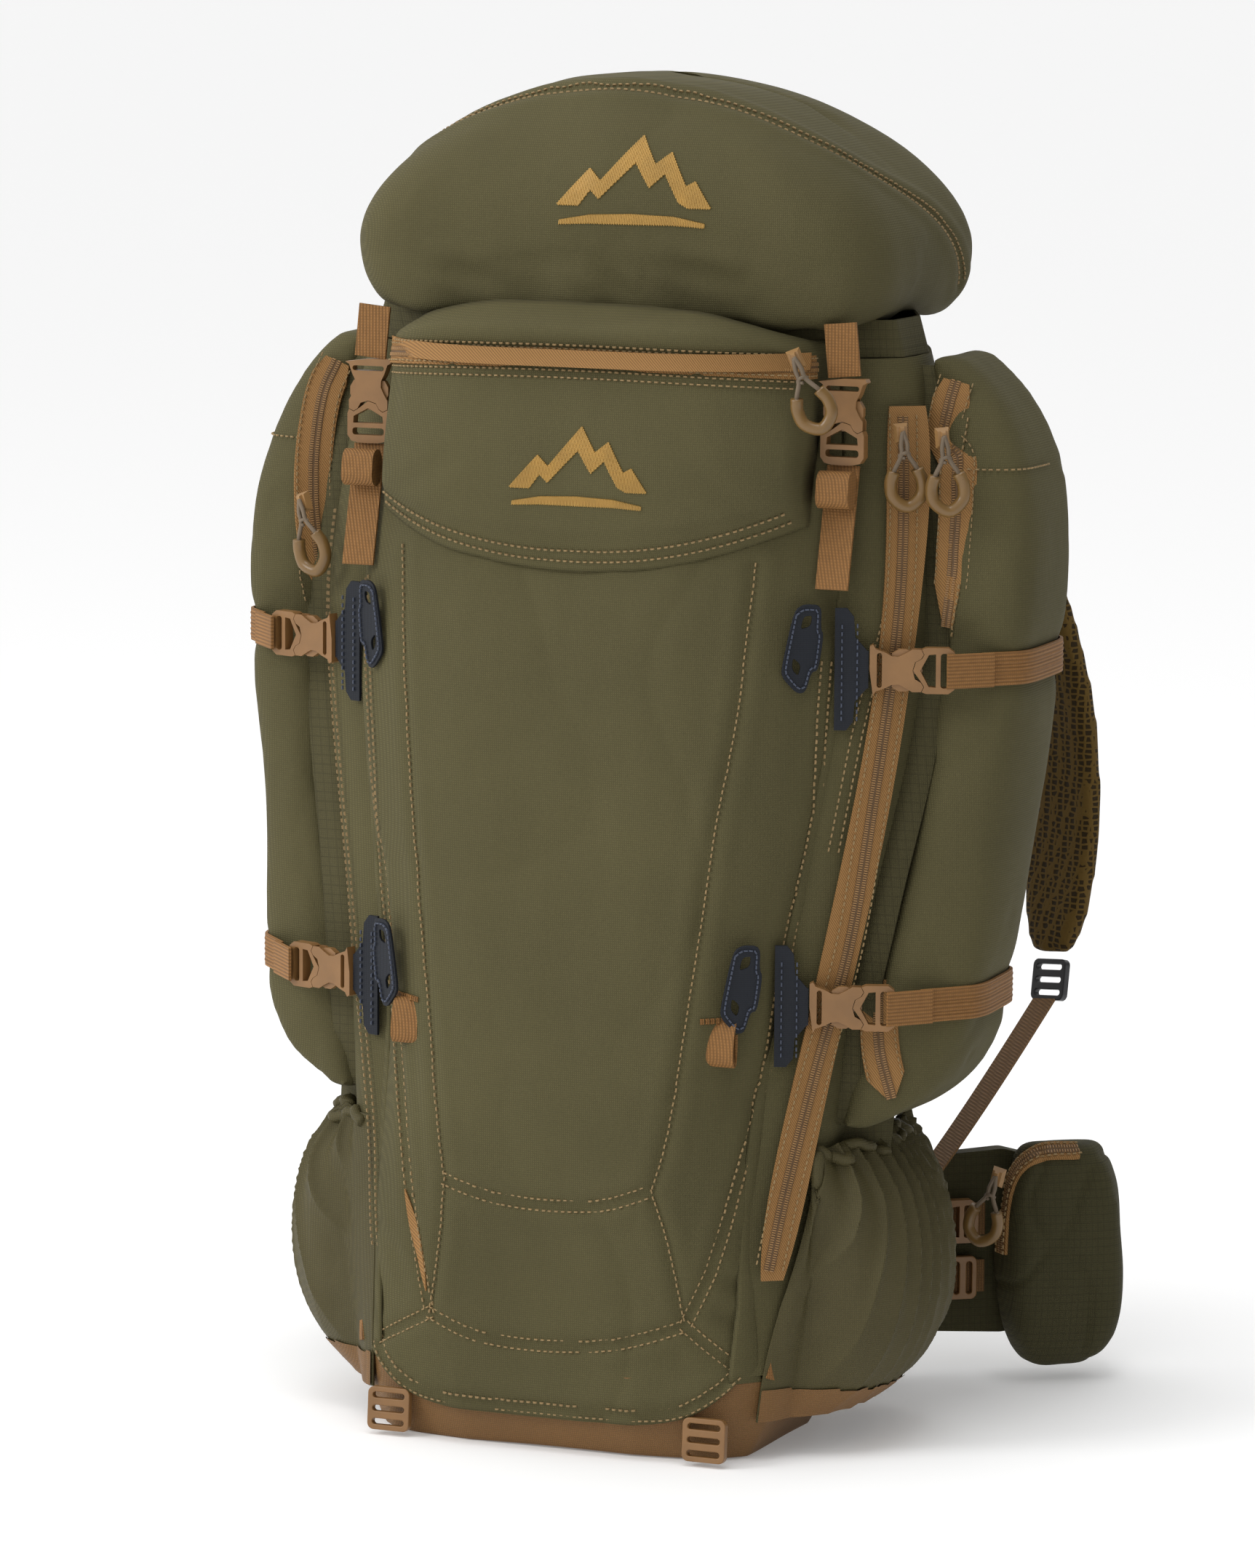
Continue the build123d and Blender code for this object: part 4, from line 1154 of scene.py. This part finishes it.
def embroider(pile, tree, centre, scale):
    """A ridge of hills in satin stitch: close threads, each laid on the cloth."""
    for upper, lower in ((PEAKS, INNER), (SWOOP, SWOOP_LOW)):
        for k in range(-96, 97):
            x = k * 0.5
            top, foot = ridge(x, upper), ridge(x, lower)
            if top is None:
                continue
            foot = 0.0 if foot is None else foot
            if top - foot < 0.6:
                continue
            ends = []
            for h in (foot - 0.3 * (k % 3), (top + foot) / 2, top + 0.3 * (k % 2)):
                start = Vector((centre[0] + (x + h * 0.12) * scale * MM, -0.4, centre[1] + h * scale * MM))
                hit, normal, _, _ = tree.ray_cast(start, BACKWARD)
                if hit is None:
                    break
                ends.append((hit, normal if normal.y < 0 else -normal))
            if len(ends) == 3:
                pile.bar(frames(ends), 0.00062 * scale, 0.0007 + 0.0003 * (k % 2), 0.00014, 0.0002)


gold = Pile()
embroider(gold, pocket_surface, (0.008, 0.570), 0.92)
gold.make("pocket_embroidery", "gold_thread", "bag")
gold = Pile()
embroider(gold, lid_surface, (0.024, 0.733), 1.02)
gold.make("lid_embroidery", "gold_thread", "lid")

SIDE_SEAM = mm((187, 1, 540), (187, -6, 500), (178, -22, 437), (166, -33, 359), (152, -46, 282),
        (136, -60, 222),
               (124, -76, 165), (119, -84, 110))
side_panels = surface(frame["nodes"]["side_panel_left"], frame["nodes"]["side_panel_right"],
        frame["nodes"]["front_panel"])
side_thread = Pile()
for side, sg in SIDES:
    way = Vector((sg * 0.7, -0.72, 0))
    line = [Vector((sg * (p.x - (0.012 if sg > 0 else 0)), p.y - (0.008 if sg > 0 else 0), p.z))
            for p in SIDE_SEAM]
    if sg > 0:
        line = line[:4]
    spots = threaded(line, side_panels, way, 0.0009)
    for offset in (-0.003, 0.003):
        stitch(side_thread, beside(spots, offset))
side_thread.make("side_thread", "thread", "bag")
inset = Pile()
spots = frames(seen(smooth_path(mm((-92, -105, 150), (-82, -107, 118), (-77, -107, 90)), 0.002), front_tree,
        FORWARD))
inset.bar(spots, [0.0005 + 0.006 * sin(pi * i / (len(spots) - 1)) for i in range(len(spots))], 0.0008, 0,
        0.001)
inset.make("inset_tape", "zip_tape", "bag")

tab_tree = surface(frame["nodes"]["corner_tabs"])
tab_thread = Pile()
for side, sg in SIDES:
    for cx, cy, cz in ((0.1508, -0.030, 0.467), (0.1255, -0.057, 0.270)):
        for offset in (-0.0045, 0.0045):
            line = [Vector((sg * (cx + 0.012), cy - 0.014, cz + h)) for h in steps(-0.029, 0.029, 0.004)]
            stitch(tab_thread, beside(frames(laid(smooth_path(line, THREAD_STEP), tab_tree)), offset))
tab_thread.make("tab_thread", "tab_thread", "bag")

# ---------------- pulls, folded loops and the hip pockets' zips
def pull(name, node, body, top, down, out, size=1.25):
    """A slider, a loop of cord through it and the moulded grip at the loop's foot."""
    top, out = Vector(top), Vector(out).normalized()
    down = (Vector(down) - out * Vector(down).dot(out)).normalized()
    across = down.cross(out)
    slider = Pile()
    slider.box(top - down * 0.002, down, across, out, 0.012, 0.0085, 0.0042)
    slider.box(top - down * 0.003 + out * 0.0042, down, across, out, 0.007, 0.003, 0.0022)
    slider.make(f"{name}_slider", "coil_thread", body)
    at = top + out * 0.0058

    def spot(a, b, lift=0.0):
        return at + across * (a * MM * size) + down * (b * MM * size) + out * (lift * MM)
    loop = [spot(0, -3, 0), spot(-1.4, 3, 1), spot(-1.6, 8, 1), spot(-5.5, 15, 1), spot(-7.6, 21),
            spot(-6.6, 28), spot(0, 32.5),
            spot(6.6, 28), spot(7.6, 21), spot(5.5, 15, 1), spot(1.6, 8, 1), spot(1.4, 3, 1)]
    cord = Pile()
    cord.tube(smooth_path(loop + loop[:1], 0.0012), 0.0014, 7)
    cord.tube(smooth_path([spot(-2.6, 8, 0), spot(0, 7, 2.2), spot(2.6, 8.4, 0), spot(0, 9.6, 2)], 0.0008),
            0.0011, 7)
    cord.make(f"{name}_cord", "taupe_cord", body, True)
    grip = Pile()
    grip.tube(smooth_path(loop[3:10], 0.001), 0.0030 * size, 12)
    grip_ob = grip.make(f"{name}_grip", "pull_plastic", body, True)
    stands_for(node)


pull("main_pull", "main_zip_slider", "main_slider", (0.181, -0.011, 0.602), (0.1, 0, -1), (0.55, -0.83, 0))
pull("pocket_pull", "pocket_zip_slider", "pocket_slider", (0.133, -0.056, 0.647), (0.42, 0, -1),
        (0.25, -0.97, 0))
pull("pod_pull_left", "pod_zip_slider_left", "pod_slider_left", (-0.197, -0.016, 0.545), (0.35, 0, -1),
        (-0.25, -0.97, 0))
pull("pod_pull_right", "pod_zip_slider_right", "pod_slider_right", (0.205, -0.006, 0.60), (0.1, 0, -1),
        (0.5, -0.86, 0))
for side, sg in SIDES:
    hip_tree = surface(shown[f"hip_{side}"])
    arc = mm((sg * 226, 160, 144), (sg * 206, 160, 143), (sg * 192, 160, 130), (sg * 187, 160, 108),
            (sg * 186, 160, 80))
    zip_run(f"hip_zip_{side}", arc, hip_tree, f"belt_{side}", 0.012)
    pull(f"hip_pull_{side}", f"hip_zip_slider_{side}", f"hip_slider_{side}", (sg * 0.192, 0.149, 0.132),
         (-sg * 0.25, 0, -1), (0, -1, 0), 1.2)


def hull(points):
    """The convex outline of points in a plane, anticlockwise."""
    points = sorted(set(points))
    halves = []
    for run in (points, points[::-1]):
        half = []
        for p in run:
            while len(half) > 1 and ((half[-1][0] - half[-2][0]) * (p[1] - half[-2][1])
                                     - (half[-1][1] - half[-2][1]) * (p[0] - half[-2][0])) <= 0:
                half.pop()
            half.append(p)
        halves += half[:-1]
    return halves


# webbing round the side pods
for side, sg in SIDES:
    for level, _ in STRAP_LEVELS:
        node = f"compression_strap_{level}_{side}"
        low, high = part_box(node)
        z = (low[2] + high[2]) / 2
        clip_low, clip_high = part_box(f"strap_clip_{level}_{side}")
        start = (max(abs(clip_low[0]), abs(clip_high[0])) - 0.006, (clip_low[1] + clip_high[1]) / 2 - 0.001)
        section = [(sg * v.co.x, v.co.y) for v in shown[f"pod_{side}"].data.vertices
                if abs(v.co.z - z) < 0.012]
        section = [(round(x + 0.0012, 4), round(y, 4)) for x, y in section]
        outline = hull(section + [start])
        first = outline.index(start) if start in outline else min(
            range(len(outline)), key=lambda i: abs(outline[i][0] - start[0]) + abs(outline[i][1] - start[1]))
        outline = outline[first:] + outline[:first]
        if outline[1][0] < start[0] - 0.01:
            outline = outline[:1] + outline[:0:-1]
        line = []
        for x, y in outline:
            if y > high[1] - 0.012 or (line and x < 0.2 and y > 0.02):
                break
            line.append(Vector((sg * x, y, z)))
        spaced = [line[0]]
        for p in line[1:]:
            if (p - spaced[-1]).length > 0.006:
                spaced.append(p)
        if len(spaced) < 3:
            continue
        spaced.append(Vector((sg * (abs(spaced[-1].x) - 0.012), high[1] - 0.002, z)))
        path = eased(smooth_path(spaced, 0.002), 5)
        ring = []
        for p, along in tangents(path):
            out = along.cross(UP).normalized() * sg
            if out.x * sg < 0 and out.y > 0:
                out = -out
            ring.append((p, along, UP, out))
        # the doubled end behind the clip goes with it, over the rest of the strap
        tail = Pile()
        tail.bar([(p + out * 0.0024, a, c, out) for p, a, c, out in ring[:16]], 0.0205, 0.0018, 0.0004, 0)
        tail.make(f"strap_tail_{level}_{side}", "webbing", f"clip_{level}_{side}")
        ring = ring[12:]
        band = Pile()
        band.bar(ring, WEBBING_WIDTH, 0.0014, 0.0003, 0.0004)
        for rib in (-0.0066, -0.0033, 0, 0.0033, 0.0066):
            band.bar([(p + c * rib + out * 0.0012, a, c, out) for p, a, c, out in ring], 0.0016, 0.0005,
                    0.0004, 0)
        strap_ob = band.make(f"{node}_webbing", "webbing", "bag")
        stands_for(node)

# hanging loops
folds = Pile()
for x in (-0.097, 0.103):
    hit = front_tree.ray_cast(Vector((x, -0.4, 0.262)), BACKWARD)[0]
    line = [hit + Vector((0, dy * MM, dz * MM)) for dy, dz in
            ((0, 0), (-2.5, -2), (-5, -8), (-6.5, -16), (-6.5, -22), (-4.2, -25), (-2, -22), (-1, -14),
                    (-1, -6))]
    path = smooth_path(line, 0.001)
    ring = []
    for p, along in tangents(path):
        across = Vector((1, 0, 0))
        ring.append((p, along, across, along.cross(across).normalized()))
    folds.bar(ring, 0.017, 0.0012, 0, 0.0)
    bar_spots = seen(smooth_path([hit + Vector((a * MM, 0, 0.001)) for a in (-11, 0, 11)], THREAD_STEP),
            front_tree, FORWARD)
    stitch(folds, frames(bar_spots), 0.0011, 0.0008, 0.0035, 0.0009)
side_tree = surface(frame["nodes"]["side_panel_right"], frame["nodes"]["side_panel_left"])
for side, sg in SIDES:
    low = [Vector((sg * 0.2, y, z)) for y,
            z in ((-0.078, 0.056), (-0.066, 0.052), (-0.052, 0.058), (-0.046, 0.064))]
    folds.bar(frames(seen(smooth_path(low, 0.002), side_tree, Vector((sg, 0, 0)), 0.0008)), 0.012, 0.0014,
            0, 0)

# ---------------- lash tabs
# outline and slots, as parts of half the tab's width and height, with the flange on the outer side
TAB_WIDER = 1.12  # against the CAD tab
TAB_EDGE = ((-0.37, 0.86), (0.09, 1.0), (0.89, 0.97), (0.85, 0.45), (1.0, 0.31), (0.76, -0.48), (0.43, -0.52),
            (0.16, -0.97), (-0.24, -1.0), (-0.97, -0.62), (-0.9, -0.31))
TAB_SLOTS = (((0.03, 0.74), (0.5, 0.77), (0.42, 0.5), (-0.13, 0.42)),
             ((-0.46, -0.17), (-0.02, -0.36), (-0.17, -0.64), (-0.52, -0.46)))


def round_corners(points, cuts=2):
    ring = [Vector(p) for p in points]
    for _ in range(cuts):
        ring = [a.lerp(b, t) for a, b in zip(ring, ring[1:] + ring[:1]) for t in (0.2, 0.8)]
    return ring


def tab_mesh(half_wide, half_high):
    curve = bpy.data.curves.new("tab_outline", "CURVE")
    curve.dimensions, curve.fill_mode = "2D", "BOTH"
    curve.extrude, curve.bevel_depth, curve.bevel_resolution = 0.0006, 0.0003, 1
    for outline in (TAB_EDGE,) + TAB_SLOTS:
        ring = round_corners(outline)
        spline = curve.splines.new("POLY")
        spline.points.add(len(ring) - 1)
        for point, p in zip(spline.points, ring):
            point.co = (p.x * half_wide, p.y * half_high, 0, 1)
        spline.use_cyclic_u = True
    drawn = placed("tab_outline", curve)
    bpy.context.view_layer.update()
    mesh = bpy.data.meshes.new_from_object(drawn.evaluated_get(bpy.context.evaluated_depsgraph_get()))
    bpy.data.objects.remove(drawn)
    return mesh


tab_solids = bmesh.new()
tab_solids.from_mesh(frame["nodes"]["lash_tabs"].data)
bmesh.ops.remove_doubles(tab_solids, verts=tab_solids.verts, dist=0.00005)
unseen, plates = set(tab_solids.verts), bmesh.new()
tab_rows = Pile()
while unseen:
    group, todo = set(), [next(v for v in tab_solids.verts if v in unseen)]
    while todo:
        vert = todo.pop()
        if vert in unseen:
            unseen.discard(vert)
            group.add(vert)
            todo += [edge.other_vert(vert) for edge in vert.link_edges]
    out = Vector()
    for face in {f for v in group for f in v.link_faces}:
        if face.normal.y < -0.5:
            out += face.normal * face.calc_area()
    out.normalize()
    up = (UP - out * out.z).normalized()
    across = up.cross(out)
    spans = [[v.co.dot(axis) for v in group] for axis in (across, up, out)]
    middle = [(min(span) + max(span)) / 2 for span in spans]
    half = [(max(span) - min(span)) / 2 for span in spans]
    centre = across * middle[0] + up * middle[1] + out * (max(spans[2]) - 0.0003)
    flip = 1 if centre.x > 0 else -1
    place = Matrix((across, up, out)).transposed().to_4x4()
    place.translation = centre
    plate = tab_mesh(half[0] * TAB_WIDER * flip, half[1])
    plate.transform(place)
    plates.from_mesh(plate)
    hem = [centre + across * p.x * half[0] * TAB_WIDER * flip * 0.82 + up * p.y * half[1] * 0.89 + out
            * 0.0009
           for p in round_corners(TAB_EDGE + TAB_EDGE[:1], 1)]
    stitch(tab_rows, [(p, (q - p).normalized(), (q - p).normalized().cross(out), out)
                      for p, q in zip(smooth_path(hem, THREAD_STEP),
                              smooth_path(hem, THREAD_STEP)[1:])], 0.003)
tab_solids.free()
plates_mesh = bpy.data.meshes.new("lash_tab_plates")
plates.to_mesh(plates_mesh)
plates.free()
plates_mesh.materials.append(PAINT["hypalon"])
lash_plates = placed("lash_tab_plates", plates_mesh)
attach(lash_plates, "bag")
stands_for("lash_tabs")
tab_rows.make("lash_tab_stitches", "tab_thread", "bag")

loops = folds.make("hanging_loops", "webbing_upright", "bag")
stands_for("webbing_loops")

# strips over the corners between the front and the sides
CORNER = mm((121, -85, 48), (119, -87, 60), (119, -79, 165), (124, -60, 250), (138, -46, 340),
        (151, -33, 434), (153, -22, 520),
            (149, -5, 600), (143, 4, 644))
for side, sg in SIDES:
    strip = Pile()
    out = Vector((sg * 0.75, -0.66, 0)).normalized()
    ring = [(Vector((sg * p.x, p.y, p.z)), UP, UP.cross(out), out)
            for p in smooth_path(CORNER, 0.004)]
    widths = [0.013 + 0.010 * max(0, 1 - (p.z - 0.048) / 0.045) for p, _, _, _ in ring]
    strip.bar(ring, widths, 0.0007, 0.0025, 0.001)
    strip.make(f"corner_seam_{side}", "olive_fabric", "bag", True)

# cloth that closes the gap between each pod and the side it is sewn to
POD_EDGE = mm((150, -44, 196), (153, -44, 210), (160, -42, 256), (172, -28, 330), (189, -10, 434),
        (191, 4, 556),
              (185, 16, 604), (174, 28, 643))
for side, sg in SIDES:
    strip = Pile()
    ring = [(Vector((sg * p.x, p.y + 0.012, p.z)), UP, Vector((1, 0, 0)), FORWARD)
            for p in smooth_path(POD_EDGE, 0.006)]
    strip.bar(ring, 0.030, 0.001, 0, 0.001)
    strip.make(f"pod_gusset_{side}", "ripstop", "bag", True)

# harness webbing: sewn to the bag at one end and to the shoulder strap at the other, it bends between them
for side, sg in SIDES:
    node = frame["nodes"][f"harness_webbing_{side}"]
    lifter = [v.co for v in node.data.vertices if v.co.z > 0.5]
    nearest = min(lifter, key=lambda p: p.y)
    furthest = max(lifter, key=lambda p: p.y)
    pieces = (("harness_strap", Vector((sg * 0.128, 0.1235, 0.098)), Vector((sg * 0.184, 0.256, 0.227)),
               Vector((0.8 * sg, -0.6, 0)), Vector((0, 0, -0.004))),
              ("load_lifter", Vector((sg * 0.088, nearest.y + 0.001, nearest.z)),
               Vector((sg * 0.092, furthest.y - 0.001, furthest.z)), Vector((1, 0, 0)), Vector((0, 0,
                       -0.0015))))
    for name, sewn, far, wide, sag in pieces:
        along = (far - sewn).normalized()
        across = (wide - along * wide.dot(along)).normalized()
        strap = Pile()
        strap.bar([(sewn.lerp(far, i / 24) + sag * sin(pi * i / 24), along, across, along.cross(across))
                   for i in range(25)], WEBBING_WIDTH, 0.0016, 0.0003, 0)
        webbing = strap.make(f"{name}_{side}", "brown_webbing", None)
        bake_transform(webbing)
        stands_for(f"harness_webbing_{side}")

# gussets between the side panels and the bottle pockets
gusset_verts = []
for r in range(9):
    for c in range(9):
        u, t = c / 8, r / 8
        low = Vector((0.122, -0.07, 0.15)).lerp(Vector((0.178, -0.006, 0.176)), u)
        high = Vector((0.134, -0.058, 0.25)).lerp(Vector((0.18, 0.004, 0.222)), u)
        p = low.lerp(high, t)
        gusset_verts.append(p + Vector((-0.004, 0.006, 0)) * sin(pi * u) + Vector((0, 0.0006, 0))
                * sin(t * 9))
for side, sg in SIDES:
    gusset = new_object(f"gusset_{side}", [(sg * p.x, p.y, p.z) for p in gusset_verts],
                        grid_faces(9, 8), "ripstop")
    thicken(gusset, 0.001)
    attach(gusset, "bag")
